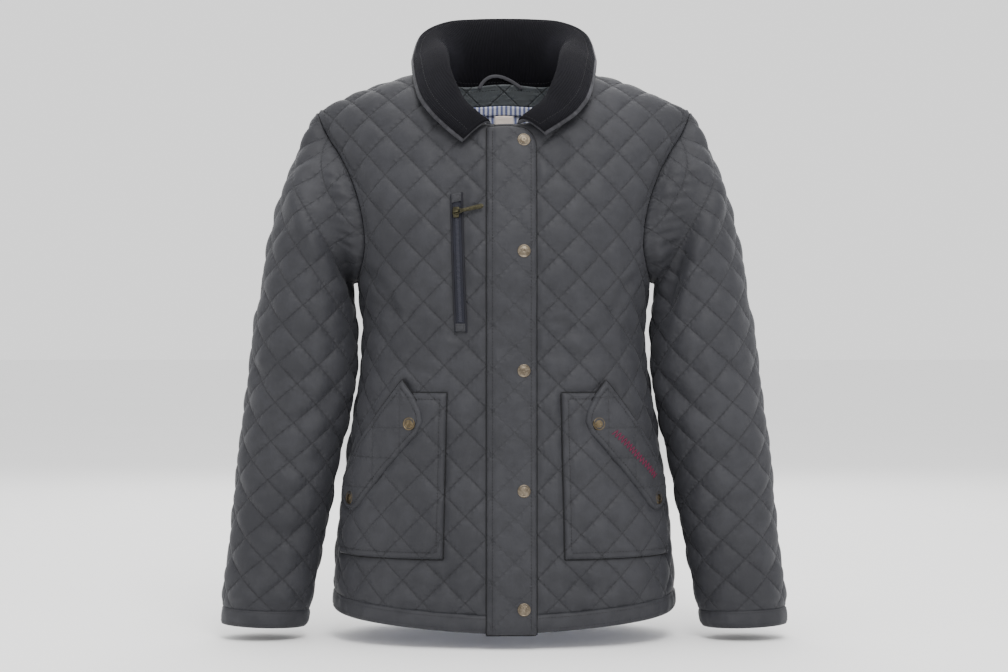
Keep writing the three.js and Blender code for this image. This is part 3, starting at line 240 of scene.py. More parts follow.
class TorsoSide(Worn):
    """The body's front or back: s runs out from its middle, v up it to the shoulder's ridge."""
    LOW_RINGS, TOP_RINGS, ANGLES, SHARES = 15, 40, 40, 240
    COLUMNS, LEVELS = 60, 80

    def __init__(self, face):
        self.out = -1 if face == "front" else 1
        self.turned = 1 if face == "front" else -1
        self.round = ROUND[face]
        self.width, self.depth = column(TORSO["z"], TORSO["width"]), column(TORSO["z"], TORSO[face])
        low, top, last = self.LOW_RINGS, self.TOP_RINGS, self.LOW_RINGS - 1
        z = np.concatenate([np.linspace(TORSO["z"][0], ARMPIT_Z, low), np.full(top, float(ARMPIT_Z))])
        self.rise = np.concatenate([np.zeros(low), np.linspace(0, 1, top + 1)[1:]])
        middle = self.ring(self.rise, z, np.full(low + top, math.pi / 5))
        climb = running(middle)
        self.vs = np.where(self.rise > 0, ARMPIT_Z + climb - climb[last], z)
        angles = np.linspace(0, math.pi / 2, self.ANGLES + 1)
        self.halves, self.table = [], []
        self.shares = np.linspace(0, 1, self.SHARES + 1)
        for rise, height in zip(self.rise, z):
            ring = self.ring(np.full(self.ANGLES + 1, rise), np.full(self.ANGLES + 1, height), angles)
            lengths = running(ring)
            self.halves.append(lengths[-1])
            self.table.append(np.interp(self.shares * lengths[-1], lengths, angles))
        self.table = np.array(self.table)
        self.top = self.vs[-1]
        self.arm_rows = [self.at_depth(y, height) for y, height in zip(ARMHOLE[face], ARMHOLE["z"])]
        self.tip = (self.across_top(SHOULDER_X), self.top)
        self.true_lengths()

    def ring(self, rise, z, angle):
        """A level ring of the body. Above the armpits it draws in to the ridge as rise goes from 0 to 1."""
        half, k = self.width(z), RING_SQUARE
        x = half * (np.sin(angle) + k * np.sin(3 * angle)) / (1 - k)
        y = SIDE_Y + self.out * self.depth(z) * (np.cos(angle) - k * np.cos(3 * angle)) / (1 - k)
        x = x * (half + SHOULDER_SPREAD * rise) / half
        up = np.sin(rise * math.pi / 2) ** (2 / self.round)
        out = np.maximum(0, np.cos(rise * math.pi / 2)) ** (2 / self.round)
        out = np.where(rise > 0, out, 1)
        high = np.where(rise > 0, z + (ridge_z(x) - z) * up, z)
        return np.stack([x, RIDGE_Y + (y - RIDGE_Y) * out, high], -1)

    def half(self, v):
        return np.interp(v, self.vs, self.halves)

    def true_lengths(self):
        """Above the armpits a flat piece is measured along the cloth itself, at each s."""
        self.columns = np.linspace(0, max(self.halves), self.COLUMNS + 1)
        self.levels = np.linspace(ARMPIT_Z, self.top, self.LEVELS + 1)
        grid = self.point(self.columns[:, None], self.levels[None, :])
        steps = np.linalg.norm(np.diff(grid, axis=1), axis=2)
        self.climbs = ARMPIT_Z + np.concatenate([np.zeros((len(grid), 1)), np.cumsum(steps, 1)], 1)

    def to_flat(self, s, v):
        """The height on the flat piece of a place (s, v)."""
        s, v = np.broadcast_arrays(np.asarray(s, float), np.asarray(v, float))
        place = np.clip(np.abs(s) / self.columns[-1] * self.COLUMNS, 0, self.COLUMNS - 0.001)
        row = np.clip((v - ARMPIT_Z) / (self.top - ARMPIT_Z) * self.LEVELS, 0, self.LEVELS - 0.001)
        i, j = place.astype(int), row.astype(int)
        flat = of_four(self.climbs, i, j, place - i, row - j)
        return np.where(v > ARMPIT_Z, flat + np.maximum(0, v - self.top), v)

    def from_flat(self, s, height, past=60, halvings=24):
        """The other way round: v from the height on the flat piece."""
        low = np.full(np.shape(height), ARMPIT_Z, float)
        high = np.full(np.shape(height), self.top + past, float)
        for _ in range(halvings):
            middle = (low + high) / 2
            over = self.to_flat(s, middle) < height
            low, high = np.where(over, middle, low), np.where(over, high, middle)
        return np.where(height > ARMPIT_Z, (low + high) / 2, height)

    def point(self, s, v):
        s, v = np.broadcast_arrays(np.asarray(s, float), np.asarray(v, float))
        share = np.minimum(1, np.abs(s) / self.half(v)) * self.SHARES
        i = np.clip(np.searchsorted(self.vs, v, side="left"), 1, len(self.vs) - 1)
        f = np.clip((v - self.vs[i - 1]) / (self.vs[i] - self.vs[i - 1]), 0, 1)
        k = np.minimum(self.SHARES - 1, share.astype(int))
        g = share - k
        low = self.table[i - 1, k] * (1 - g) + self.table[i - 1, k + 1] * g
        high = self.table[i, k] * (1 - g) + self.table[i, k + 1] * g
        p = self.ring(np.interp(v, self.vs, self.rise), np.minimum(v, ARMPIT_Z), low * (1 - f) + high * f)
        p[..., 0] *= np.sign(s)
        return p

    def normal(self, s, v):
        step = 1.5
        high = np.minimum(v + step, self.top)
        edge = self.half(v) - step
        across = np.clip(s, -edge, edge)
        along = self.point(across + step, v) - self.point(across - step, v)
        up = self.point(across, high) - self.point(across, high - 2 * step)
        return unit(np.cross(along, up)) * -self.out

    def across(self, rise, angle):
        """The length of a ring from the middle to an angle."""
        n = np.zeros(self.ANGLES + 1)
        return running(self.ring(n + rise, n + ARMPIT_Z, np.linspace(0, angle, self.ANGLES + 1)))[-1]

    def spot(self, rise, angle):
        return self.ring(np.array([rise]), np.array([float(ARMPIT_Z)]), np.array([angle]))[0]

    def at_depth(self, y, z):
        """The pattern coordinates of an armhole's point, from its depth and height."""
        def angle_for(rise):
            return solve(lambda angle: -self.out * self.spot(rise, angle)[1], -self.out * y, 0, math.pi / 2)
        rise = solve(lambda t: self.spot(t, angle_for(t))[2], z, 0, 0.999)
        first = self.LOW_RINGS - 1
        return self.across(rise, angle_for(rise)), float(np.interp(rise, self.rise[first:], self.vs[first:]))

    def across_top(self, x):
        return self.across(1, solve(lambda angle: self.spot(1.0, angle)[0], x, 0, math.pi / 2))

    def up_to(self, z):
        """How far up the middle a height is."""
        return solve(lambda v: self.point(0.0, v)[..., 2], z, TORSO["z"][0], self.top)


front, back = TorsoSide("front"), TorsoSide("back")


def armhole(side, inset, n=34):
    """The armhole's line, moved in from the edge."""
    low = (float(side.half(ARMPIT_Z)), ARMPIT_Z)
    p = evenly(through([low, *side.arm_rows, side.tip], 60), n)
    ahead = np.empty_like(p)
    ahead[1:-1], ahead[0], ahead[-1] = p[2:] - p[:-2], p[1] - p[0], p[-1] - p[-2]
    ahead = unit(ahead)
    return p + inset * np.stack([-ahead[:, 1], ahead[:, 0]], 1)


def neckline(side, centre_z, inset, n=14):
    """Half of the neck's line, from the shoulder to the middle."""
    side_s, low = side.across_top(NECK_X), side.up_to(centre_z)
    angle = np.linspace(0, math.pi / 2, n + 1)
    c, s = np.maximum(0, np.cos(angle)) ** 0.9, np.sin(angle) ** 0.9
    return np.stack([(side_s + inset) * c, side.top - (side.top - low + inset) * s], 1)


class Sleeve(Worn):
    """The sleeve at +X: s runs round it to the front, v up it from the cuff."""
    turned = -1
    sewn = None
    COLUMNS, STEPS, RINGS, RING_POINTS = 192, 16, 13, 48

    def __init__(self):
        rims = {}
        for face, side in (("front", front), ("back", back)):
            p = armhole(side, 0)[::-1]
            rims[face] = (side.point(p[:, 0], p[:, 1]), side.normal(p[:, 0], p[:, 1]))
        self.turns = np.linspace(-1, 1, self.COLUMNS + 1)
        columns = []
        for turn in self.turns:
            points, normals = rims["front" if turn >= 0 else "back"]
            lengths = running(points)
            at = abs(turn) * lengths[-1]
            p = np.array([np.interp(at, lengths, points[:, k]) for k in range(3)])
            n = unit(np.array([np.interp(at, lengths, normals[:, k]) for k in range(3)]))
            columns.append(self.column_through(turn, self.edge(turn, p, n)))
        self.columns = np.array(columns)
        self.lengths = np.array([running(c) for c in self.columns])
        self.ends = self.lengths[:, -1]
        self.under = self.ends[0]
        self.heights = np.linspace(0, self.under - 12, self.RINGS)
        spaced = self.turns[:: self.COLUMNS // self.RING_POINTS]
        self.halves = []
        for v in self.heights:
            ring = np.array([self.along(int(round((u + 1) / 2 * self.COLUMNS)), v) for u in spaced])
            self.halves.append(running(ring)[-1] / 2)
        self.step = 1.0
        self.grid_v = np.arange(0, self.ends.max() + 2, self.step)
        self.grid = np.array([[np.interp(self.grid_v, length, c[:, k]) for k in range(3)]
                              for c, length in zip(self.columns, self.lengths)])
        for i, c in enumerate(self.columns):
            past = self.grid_v > self.ends[i]
            onward = unit(c[-1] - c[-3])
            self.grid[i][:, past] = c[-1][:, None] + onward[:, None] * (self.grid_v[past] - self.ends[i])
        self.grid = self.grid.transpose(0, 2, 1)

    def section(self, i, turn):
        """A point of the sleeve at one of the table's heights, a turn round it from the underarm."""
        angle, tilt = turn * math.pi, math.radians(SLEEVE["tilt"][i])
        across = SLEEVE["width"][i] * math.cos(angle)
        x, y, z = (SLEEVE[key][i] for key in "xyz")
        return np.array([x + across * math.cos(tilt), y - SLEEVE["depth"][i] * math.sin(angle),
                         z + across * math.sin(tilt)])

    def column_through(self, turn, end):
        return through([self.section(i, turn) for i in range(len(SLEEVE["x"]))] + [end], self.STEPS)

    def edge(self, turn, p, n):
        """Where the sleeve's top edge lies over a point of the armhole, clear of the body's wall."""
        lean = math.radians(20)
        start = p + np.array([math.cos(lean), 0, -math.sin(lean)]) * SEAM
        rough = self.column_through(turn, start)[-1 - 2 * self.STEPS // 8]
        last = len(SLEEVE["x"]) - 1
        own = unit(self.section(last, turn) - np.array([SLEEVE[key][last] for key in "xyz"]))
        along = unit(start - rough)
        own = unit(own - along * own.dot(along))
        apart = WALL * (1 - min(1, own.dot(n))) + 0.15
        return start + n * (apart + SEAM)

    def along(self, i, v):
        return np.array([np.interp(v, self.lengths[i], self.columns[i][:, k]) for k in range(3)])

    def half(self, v):
        return np.interp(v, self.heights, self.halves)

    def top_at(self, u):
        return np.interp(u, self.turns, self.ends)

    def round_middle(self, points):
        """The angle round a middle line, and the length along it.

        The line keeps its distance from the sleeve's outer edge.
        """
        z = np.array([-620, -400, -260, -178, -130, -84, -43, 20])
        outer = np.array([326, 309, 283, 268, 256, 239, 213, 165])
        lengths = running(np.stack([outer, z], 1))
        middle = np.interp(points[..., 2], z, outer) - 54
        return np.arctan2(6 - points[..., 1], points[..., 0] - middle), np.interp(points[..., 2], z, lengths)

    def as_quilted(self, s, h):
        """Above the underarm the quilting runs on as if the sleeve's tube did, and not round the armhole."""
        if self.sewn is None:
            level = self.under - 26
            ring = np.linspace(-1, 1, 129) * float(self.half(level))
            angle, length = self.round_middle(self.point(ring, level))
            angle[0], angle[-1] = -math.pi, math.pi
            order = np.argsort(angle)
            self.sewn = level, angle[order], ring[order], (level - length)[order]
        level, angle, ring, shift = self.sewn
        at, length = self.round_middle(self.point(s, h))
        above = h > level
        around, higher = np.interp(at, angle, ring), length + np.interp(at, angle, shift)
        return np.where(above, around, s), np.where(above, higher, h)

    def point(self, s, v):
        s, v = np.broadcast_arrays(np.asarray(s, float), np.asarray(v, float))
        place = (np.clip(s / self.half(v), -1, 1) + 1) / 2 * self.COLUMNS
        row = np.clip(v / self.step, 0, len(self.grid_v) - 1.001)
        i, j = np.minimum(self.COLUMNS - 1, place.astype(int)), row.astype(int)
        return of_four(self.grid, i, j, (place - i)[..., None], (row - j)[..., None])

    def normal(self, s, v):
        step = 3.0
        edge = self.half(v) - step
        across = np.clip(s, -edge, edge)
        high = np.minimum(v + step, self.top_at(np.clip(s / self.half(v), -1, 1)))
        middle = high - step
        along = self.point(across + step, middle) - self.point(across - step, middle)
        up = self.point(across, high) - self.point(across, high - 2 * step)
        return unit(np.cross(up, along))


class Collar(Worn):
    """The turned-down collar: s runs round it from the back's middle, v over the roll to its edge."""
    ROWS, COLUMNS = 48, 160

    def __init__(self):
        edges = []
        for side, z, turn in ((back, BACK_NECK_Z, -1), (front, FRONT_NECK_Z, 1)):
            p = neckline(side, z, 0)[::turn]
            edges.append(side.lay(p[:, 0], p[:, 1], np.full(len(p), WALL / 2)))
        edge = np.vstack([edges[0], edges[1][1:]])
        stop = len(edges[0]) - 1 + int(np.argmax(edges[1][:, 0] < COLLAR_END_X))
        t = (edge[stop - 1, 0] - COLLAR_END_X) / (edge[stop - 1, 0] - edge[stop, 0])
        edge = np.vstack([edge[:stop], edge[stop - 1] * (1 - t) + edge[stop] * t])
        lengths = running(edge)
        self.whole = lengths[-1]
        at = np.linspace(0, 1, len(COLLAR["roll_x"]))
        read = {key: column(at, values) for key, values in COLLAR.items()}
        stations = np.linspace(0, 1, self.COLUMNS + 1)
        base = np.stack([np.interp(stations * self.whole, lengths, edge[:, k]) for k in range(3)], 1)
        roll = np.stack([read["roll_" + k](stations) for k in "xyz"], 1)
        outer = np.stack([read["edge_" + k](stations) for k in "xyz"], 1)
        seat = COLLAR_SEAT[0] + (COLLAR_SEAT[1] - COLLAR_SEAT[0]) * stations
        start = base + unit(roll - base) * seat[:, None]
        pull = 2 * roll - start / 2 - outer / 2
        u = np.linspace(0, 1, self.ROWS + 1)[None, :, None]
        self.grid = start[:, None] * (1 - u) ** 2 + pull[:, None] * 2 * u * (1 - u) + outer[:, None] * u * u
        coarse = self.grid[:, :: self.ROWS // 16]
        self.heights = np.linalg.norm(np.diff(coarse, axis=1), axis=2).sum(1)

    def height(self, s):
        at = np.abs(s) / self.whole * self.COLUMNS
        return np.interp(at, np.arange(self.COLUMNS + 1), self.heights)

    def point(self, s, v):
        s, v = np.broadcast_arrays(np.asarray(s, float), np.asarray(v, float))
        place = np.minimum(self.COLUMNS - 1e-6, np.abs(s) / self.whole * self.COLUMNS)
        row = np.clip(v / self.height(s) * self.ROWS, 0, self.ROWS - 1e-6)
        i, j = place.astype(int), row.astype(int)
        p = of_four(self.grid, i, j, (place - i)[..., None], (row - j)[..., None])
        side = np.where(s < 0, -1, 1)
        p[..., 0] *= side
        towards_tip, towards_edge = soft(np.abs(s) / self.whole * 4 - 3), np.minimum(1, v / self.height(s))
        p[..., 2] += side * COLLAR_SKEW * towards_tip * towards_edge
        return p

    def normal(self, s, v):
        d = 4.0
        across = np.clip(s, -self.whole + d, self.whole - d)
        up = np.clip(v, d, self.height(s) - d)
        along = self.point(across + d, up) - self.point(across - d, up)
        return unit(np.cross(along, self.point(across, up + d) - self.point(across, up - d)))


sleeve, collar = Sleeve(), Collar()


# Outlines of the flat pieces

def mirrored(outline):
    return (np.asarray(outline) * [-1, 1])[::-1]


def hem_at(side, low, s):
    """The hem's line, which is lowest in the middle and rises to the sides."""
    t = np.abs(s) / side.half(low)
    return low + (HEM_Z + HEM_SIDE_RISE - low) * t * t * (1 + HEM_BEND) / (t + HEM_BEND)


def body_half(side, low, centre, neck_z):
    """The lines round half a panel: bottom, side seam, armhole and neck."""
    g = SHUT
    t = np.linspace(0, 1, 41)
    side_low = float(hem_at(side, low, side.half(low))) + BAND + g
    s = centre + (side.half(side_low) - g - centre) * t
    bottom = np.stack([s, hem_at(side, low, s) + BAND + g], 1)
    v = side_low + (ARMPIT_Z - g - side_low) * t[1:-1]
    side_seam = np.stack([side.half(v) - g, v], 1)
    arm = armhole(side, g, 60)
    arm[0] = [float(side.half(ARMPIT_Z)) - g, ARMPIT_Z - g]
    arm[-1, 1] = side.top - g
    neck = neckline(side, neck_z, g, 40)
    neck[0, 1] = side.top - g
    return bottom, side_seam, arm, neck


def front_outline(right):
    centre = (-FRONT_EDGE if right else FRONT_EDGE) + SHUT
    bottom, side_seam, arm, neck = body_half(front, HEM_Z, centre, FRONT_NECK_Z)
    neck = neck[neck[:, 0] > centre + 1]
    closing = [[centre, neck[-1, 1] - 0.4]] if right else [[centre, front.up_to(FRONT_NECK_Z)]]
    outline = np.vstack([bottom, side_seam, arm, neck, closing])
    return mirrored(outline) if right else outline


def back_outline():
    bottom, side_seam, arm, neck = body_half(back, HEM_BACK_Z, 0, BACK_NECK_Z)
    half = np.vstack([bottom[1:], side_seam, arm, neck[:-1]])
    return np.vstack([bottom[:1], half, neck[-1:] * [0, 1], mirrored(half)])


def hem_outline(side, low, start, stop):
    g = SHUT
    edge = float(side.half(low + HEM_SIDE_RISE)) - g
    s = np.linspace(max(start, -edge), min(stop, edge), 81)
    line = hem_at(side, low, s)
    return np.vstack([np.stack([s, line], 1), np.stack([s, line + BAND - g], 1)[::-1]])


def front_v(z):
    """How far up the front's middle a height is."""
    return front.up_to(z) if z > ARMPIT_Z else z


def placket_outline():
    low, up, c, right = HEM_Z - 1, front.up_to(FRONT_NECK_Z) - 3, PLACKET_CORNER, PLACKET_RIGHT
    angle = np.linspace(0, math.pi / 2, 9)
    corner = np.stack([right - c + c * np.cos(angle), up - c + c * np.sin(angle)], 1)
    return np.vstack([[[PLACKET_LEFT, low], [right, low]], corner, [[PLACKET_LEFT, up]]])


def pocket_outline(side):
    """The patch pocket, whose upper outer corner slants off under its flap."""
    p = POCKET
    back_in, high, low = p["slant"]
    shape = np.array([
        (p["inner_low"], p["bottom"]), (p["outer"], p["bottom"]), (p["outer"], p["top"] - low),
        (p["outer"] - back_in, p["top"] - high), (p["inner"] + p["level"], p["top"]), (p["inner"], p["top"]),
    ], float)
    return shape if side > 0 else mirrored(shape)


def flap_outline(side):
    shape = np.array(FLAP, float)[::-1]
    return shape if side > 0 else mirrored(shape)


def zip_frame(margin):
    """The zip's four corners, moved out by a margin."""
    half, up, low = ZIP_WIDTH / 2 + margin, front_v(ZIP_TOP[1]), front_v(ZIP_BOTTOM[1])
    return np.array([(ZIP_BOTTOM[0] - half, low - margin), (ZIP_BOTTOM[0] + half, low - margin),
                     (ZIP_TOP[0] + half, up + margin), (ZIP_TOP[0] - half, up + margin)])


def sleeve_outline():
    g, low = SHUT, BAND + SHUT
    up = np.linspace(low, sleeve.top_at(1) - 1, 40)
    right = np.stack([sleeve.half(up) - g, up], 1)
    u = np.linspace(1, -1, 129)[1:-1]
    top = np.stack([u * sleeve.half(sleeve.top_at(u)), sleeve.top_at(u)], 1)
    return np.vstack([right, top, mirrored(right)])


def cuff_outline():
    g, u = SHUT, np.linspace(-1, 1, 49)
    low = np.stack([u * (sleeve.half(0) - g), 0 * u], 1)
    high = np.stack([u * (sleeve.half(BAND - g) - g), 0 * u + BAND - g], 1)
    return np.vstack([low, high[::-1]])


def collar_outline(inset):
    s = np.linspace(-1, 1, 97) * (collar.whole - inset * 0.7)
    return np.vstack([np.stack([s, 0 * s], 1), np.stack([s, collar.height(s) - inset], 1)[::-1]])


# Laying a flat piece

def divided(outline, longest=6.0):
    """The same outline with points along its long edges.

    An edge that is straight on the surface bends when it is laid flat.
    """
    outline = np.asarray(outline, float)
    pieces = []
    for a, b in zip(outline, np.roll(outline, -1, 0)):
        n = max(1, int(math.ceil(np.hypot(*(b - a)) / longest)))
        pieces.append(a + (b - a) * np.arange(n)[:, None] / n)
    return np.vstack(pieces)


def nearest(outline, s, v):
    """The distance to an outline and the nearest place on it."""
    best = np.full(len(s), np.inf)
    where = np.zeros((len(s), 2))
    for a, b in zip(outline, np.roll(outline, -1, 0)):
        d = b - a
        t = np.clip(((s - a[0]) * d[0] + (v - a[1]) * d[1]) / max(d.dot(d), 1e-9), 0, 1)
        q = a + t[:, None] * d
        gap = np.hypot(s - q[:, 0], v - q[:, 1])
        closer = gap < best
        best[closer], where[closer] = gap[closer], q[closer]
    return best, where


def inside(outline, s, v):
    odd = np.zeros(len(s), bool)
    for a, b in zip(outline, np.roll(outline, -1, 0)):
        if a[1] == b[1]:
            continue
        crosses = (a[1] > v) != (b[1] > v)
        odd ^= crosses & (s < a[0] + (b[0] - a[0]) * (v - a[1]) / (b[1] - a[1]))
    return odd


class Piece:
    """A flat piece meshed in squares that are split along the stitch lines, with its rim on the outline."""

    def __init__(self, outline, surface, cell, diamond=BODY_DIAMOND, origin=(0, 0), upright=False):
        outline = divided(outline)
        self.surface, self.diamond, self.upright = surface, diamond, upright
        flat = np.stack([outline[:, 0], surface.to_flat(outline[:, 0], outline[:, 1])], 1)
        self.origin = np.array([origin[0], float(surface.to_flat(origin[0], origin[1]))])
        low, high = flat.min(0), flat.max(0)
        start = np.floor((low - self.origin) / cell).astype(int) - 1
        stop = np.ceil((high - self.origin) / cell).astype(int) + 1
        n, m = stop - start + 1
        i, j = np.meshgrid(np.arange(n), np.arange(m), indexing="ij")
        s = (self.origin[0] + (start[0] + i) * cell).ravel().astype(float)
        h = (self.origin[1] + (start[1] + j) * cell).ravel().astype(float)
        gap, spot = nearest(flat, s, h)
        core = inside(flat, s, h) & (gap > 0.35 * cell)
        a = (i[:-1, :-1] * m + j[:-1, :-1]).ravel()
        rising = self.lean(s[a] + cell / 2, h[a] + cell / 2)
        quads = np.stack([a, a + m, a + m + 1, a + 1], 1)
        turned = np.where(rising[:, None], quads, np.roll(quads, -1, 1))
        faces = np.vstack([turned[:, [0, 1, 2]], turned[:, [0, 2, 3]]])
        faces = faces[core[faces].any(1)]
        rim = np.zeros(len(s), bool)
        rim[np.unique(faces)] = True
        rim &= ~core
        s[rim], h[rim] = spot[rim, 0], spot[rim, 1]
        for corner in flat[self.corners(flat)]:
            near = np.flatnonzero(rim)
            k = near[np.argmin(np.hypot(s[near] - corner[0], h[near] - corner[1]))]
            s[k], h[k] = corner
        used = np.unique(faces)
        index = np.full(len(s), -1)
        index[used] = np.arange(len(used))
        self.s, self.h, self.faces, self.rim = s[used], h[used], index[faces], rim[used]
        self.v = surface.from_flat(self.s, self.h)
        self.inset = np.where(self.rim, 0, gap[used])
        x, y = flat.T
        self.area = abs(np.sum(x * np.roll(y, -1) - y * np.roll(x, -1))) / 2e6
        self.size = (high - low) / 1000

    def lean(self, s, h):
        """Whether the nearest stitch line rises to the right."""
        p, q = self.stitch_lines(s, h)
        return q < p

    def pattern(self, s, h):
        """The place in the quilting, in half diamonds. Upright quilting has squares in place of diamonds."""
        s, h = self.surface.as_quilted(s, h)
        x, y = (s - self.origin[0]) / self.diamond * 2, (h - self.origin[1]) / self.diamond * 2
        if self.upright:
            return (x + y) / math.sqrt(2), (x - y) / math.sqrt(2)
        return x, y

    def stitch_lines(self, s, h):
        """The distance to the nearest falling stitch line and to the nearest rising one, in millimetres."""
        x, y = self.pattern(s, h)
        off = lambda t: np.abs(t - 2 * np.round(t / 2)) * self.diamond / 2 / math.sqrt(2)
        return off(x + y), off(x - y)

    @staticmethod
    def corners(outline):
        before, after = unit(outline - np.roll(outline, 1, 0)), unit(np.roll(outline, -1, 0) - outline)
        return np.flatnonzero((before * after).sum(1) < 0.8)

    def border(self):
        """The rim's edges, each once, in the direction of its face."""
        edges = np.vstack([self.faces[:, [k, (k + 1) % 3]] for k in range(3)])
        low, high = np.sort(edges, 1).T
        _, first, count = np.unique(low * len(self.s) + high, return_index=True, return_counts=True)
        return edges[first[count == 1]]

    def noise(self, seed):
        """A different number from -1 to 1 for each diamond."""
        x, y = self.pattern(self.s, self.h)
        a, b = np.round((x + y - 1) / 2), np.round((x - y - 1) / 2)
        return np.sin(a * 12.9898 + b * 78.233 + seed * 37.7) * 43758.5453 % 2 - 1

    def puffs(self, height, fade=FADE, covers=(), margin=9):
        """Padding that swells between the stitch lines, and is flat at the edge and under what is sewn on."""
        p, q = self.stitch_lines(self.s, self.h)
        reach = self.diamond / 2 / math.sqrt(2)
        p, q = np.clip(p / reach, 0, 1), np.clip(q / reach, 0, 1)
        dome = ((1 - (1 - p) ** 2) * (1 - (1 - q) ** 2)) ** 0.66
        raised = height * dome * (1 + 0.28 * self.noise(1))
        share = soft(self.inset / fade * 1.15)
        for cover in covers:
            gap, _ = nearest(cover, self.s, self.h)
            share = share * np.where(inside(cover, self.s, self.h), 0, soft(gap / margin))
        return raised * share


UV_SCALE = 10.0  # the pattern's UV is kept small
TURNED_IN = 5.0  # the outer cloth is turned in this far along a piece's edge


def make(name, points, faces, uv=None, inner=None):
    """A mesh from millimetres, smooth, with its pattern as UV and its inner faces in the second material."""
    mesh = bpy.data.meshes.new(name)
    mesh.from_pydata((points / 1000).tolist(), [], faces.tolist() if isinstance(faces, np.ndarray) else faces)
    mesh.update()
    if uv is not None:
        layer = mesh.uv_layers.new(name="pattern")
        loops = np.empty(len(mesh.loops), int)
        mesh.loops.foreach_get("vertex_index", loops)
        layer.data.foreach_set("uv", uv[loops].ravel().astype(np.float32))
    mesh.polygons.foreach_set("use_smooth", np.ones(len(mesh.polygons), bool))
    if inner is not None:
        mesh.polygons.foreach_set("material_index", inner.astype(np.int32))
    piece = bpy.data.objects.new(name, mesh)
    bpy.context.scene.collection.objects.link(piece)
    return piece


def shell(name, piece, lift=0.0, wall=WALL, relief=0.0, mirror=False):
    """A padded layer: its outer face has the relief, its rim is rounded off and its inner face is plain."""
    surface, n = piece.surface, len(piece.s)
    lift, relief = np.broadcast_to(lift, n), np.broadcast_to(relief, n)
    base, normal = surface.point(piece.s, piece.v), surface.normal(piece.s, piece.v)
    outer = base + normal * (lift + np.where(piece.rim, 0.55 * wall, wall + relief))[:, None]
    inner = base + normal * (lift + np.where(piece.rim, 0.2 * wall, 0))[:, None]
    faces, border = piece.faces, piece.border()
    sides = np.vstack([
        np.stack([border[:, 1], border[:, 0], border[:, 0] + n], 1),
        np.stack([border[:, 1], border[:, 0] + n, border[:, 1] + n], 1),
    ])
    whole = np.vstack([faces, faces[:, ::-1] + n, sides])
    points = np.vstack([outer, inner])
    flip = surface.turned < 0
    if mirror:
        points = points * [-1, 1, 1]
        flip = not flip
    if flip:
        whole = whole[:, ::-1]
    flat = np.stack(piece.pattern(piece.s, piece.h), 1) / UV_SCALE
    turned_in = (piece.inset[faces].mean(1) > TURNED_IN).astype(float)
    within = np.concatenate([np.zeros(len(faces)), turned_in, np.zeros(len(sides))])
    return make(name, points, whole, np.vstack([flat, flat]), within)


# Materials

SHELL_PITCH, GATHER_PITCH, WALE_PITCH, STRIPE_PITCH = 0.66, 8.5, 1.9, 5.6
SHIRTING_PITCH = HALF_DIAMOND * math.pi / 150


class Signal:
    """A shader socket that stands in an expression."""

    def __init__(self, finish, socket):
        self.finish, self.socket = finish, socket

    def math(self, operation, *values):
        return self.finish.node("ShaderNodeMath", {"operation": operation}, dict(enumerate(values)))

    def __add__(self, other): return self.math("ADD", self, other)
    def __radd__(self, other): return self.math("ADD", other, self)
    def __sub__(self, other): return self.math("SUBTRACT", self, other)
    def __rsub__(self, other): return self.math("SUBTRACT", other, self)
    def __mul__(self, other): return self.math("MULTIPLY", self, other)
    def __truediv__(self, other): return self.math("DIVIDE", self, other)
    def __mod__(self, other): return self.math("FLOORED_MODULO", self, other)
    def __abs__(self): return self.math("ABSOLUTE", self)

    def rounded(self): return self.math("ROUND", self)
    def sine(self): return self.math("SINE", self)

    def between(self, low, high, start=0.0, end=1.0):
        return self.finish.node("ShaderNodeMapRange", {"interpolation_type": "SMOOTHSTEP"},
                                {0: self, 1: low, 2: high, 3: start, 4: end})


class Finish:
    """A material in the making."""

    def __init__(self, name):
        self.material = bpy.data.materials.new(name)
        self.material.use_nodes = True
        self.tree = self.material.node_tree
        self.shader = self.tree.nodes["Principled BSDF"]

    def node(self, kind, settings=None, inputs=None, output=0):
        node = self.tree.nodes.new(kind)
        for key, value in (settings or {}).items():
            setattr(node, key, value)
        for key, value in (inputs or {}).items():
            if isinstance(value, Signal):
                self.tree.links.new(value.socket, node.inputs[key])
            else:
                node.inputs[key].default_value = value
        return Signal(self, node.outputs[output])

    def flat_place(self):
        """The place on the flat piece, across and up, in half diamonds."""
        uv = self.node("ShaderNodeUVMap", {"uv_map": "pattern"})
        outputs = self.node("ShaderNodeSeparateXYZ", inputs={0: uv}).socket.node.outputs
        return Signal(self, outputs[0]) * UV_SCALE, Signal(self, outputs[1]) * UV_SCALE

    def speckle(self, scale, detail=3.0, rough=0.55):
        place = self.node("ShaderNodeTexCoord", output="Object")
        return self.node("ShaderNodeTexNoise", {"normalize": True},
                         {"Vector": place, "Scale": scale, "Detail": detail, "Roughness": rough})

    def blend(self, share, first, second):
        inputs = {0: share, 6: first if isinstance(first, Signal) else (*first, 1),
                  7: second if isinstance(second, Signal) else (*second, 1)}
        return self.node("ShaderNodeMix", {"data_type": "RGBA", "blend_type": "MIX"}, inputs, 2)

    def bump(self, height, distance, strength=1.0):
        inputs = {"Height": height, "Distance": distance, "Strength": strength}
        return self.node("ShaderNodeBump", inputs=inputs)

    def done(self, **sockets):
        for key, value in sockets.items():
            socket = self.shader.inputs[key.replace("_", " ").title().replace("Ior", "IOR")]
            if isinstance(value, Signal):
                self.tree.links.new(value.socket, socket)
            else:
                socket.default_value = (*value, 1) if isinstance(value, tuple) and len(value) == 3 else value
        return self.material


def lighter_by(color, factor):
    return tuple(min(1, c * factor) for c in color)


def srgb(r, g, b):
    return tuple((c / 255 / 12.92) if c <= 10 else ((c / 255 + 0.055) / 1.055) ** 2.4 for c in (r, g, b))


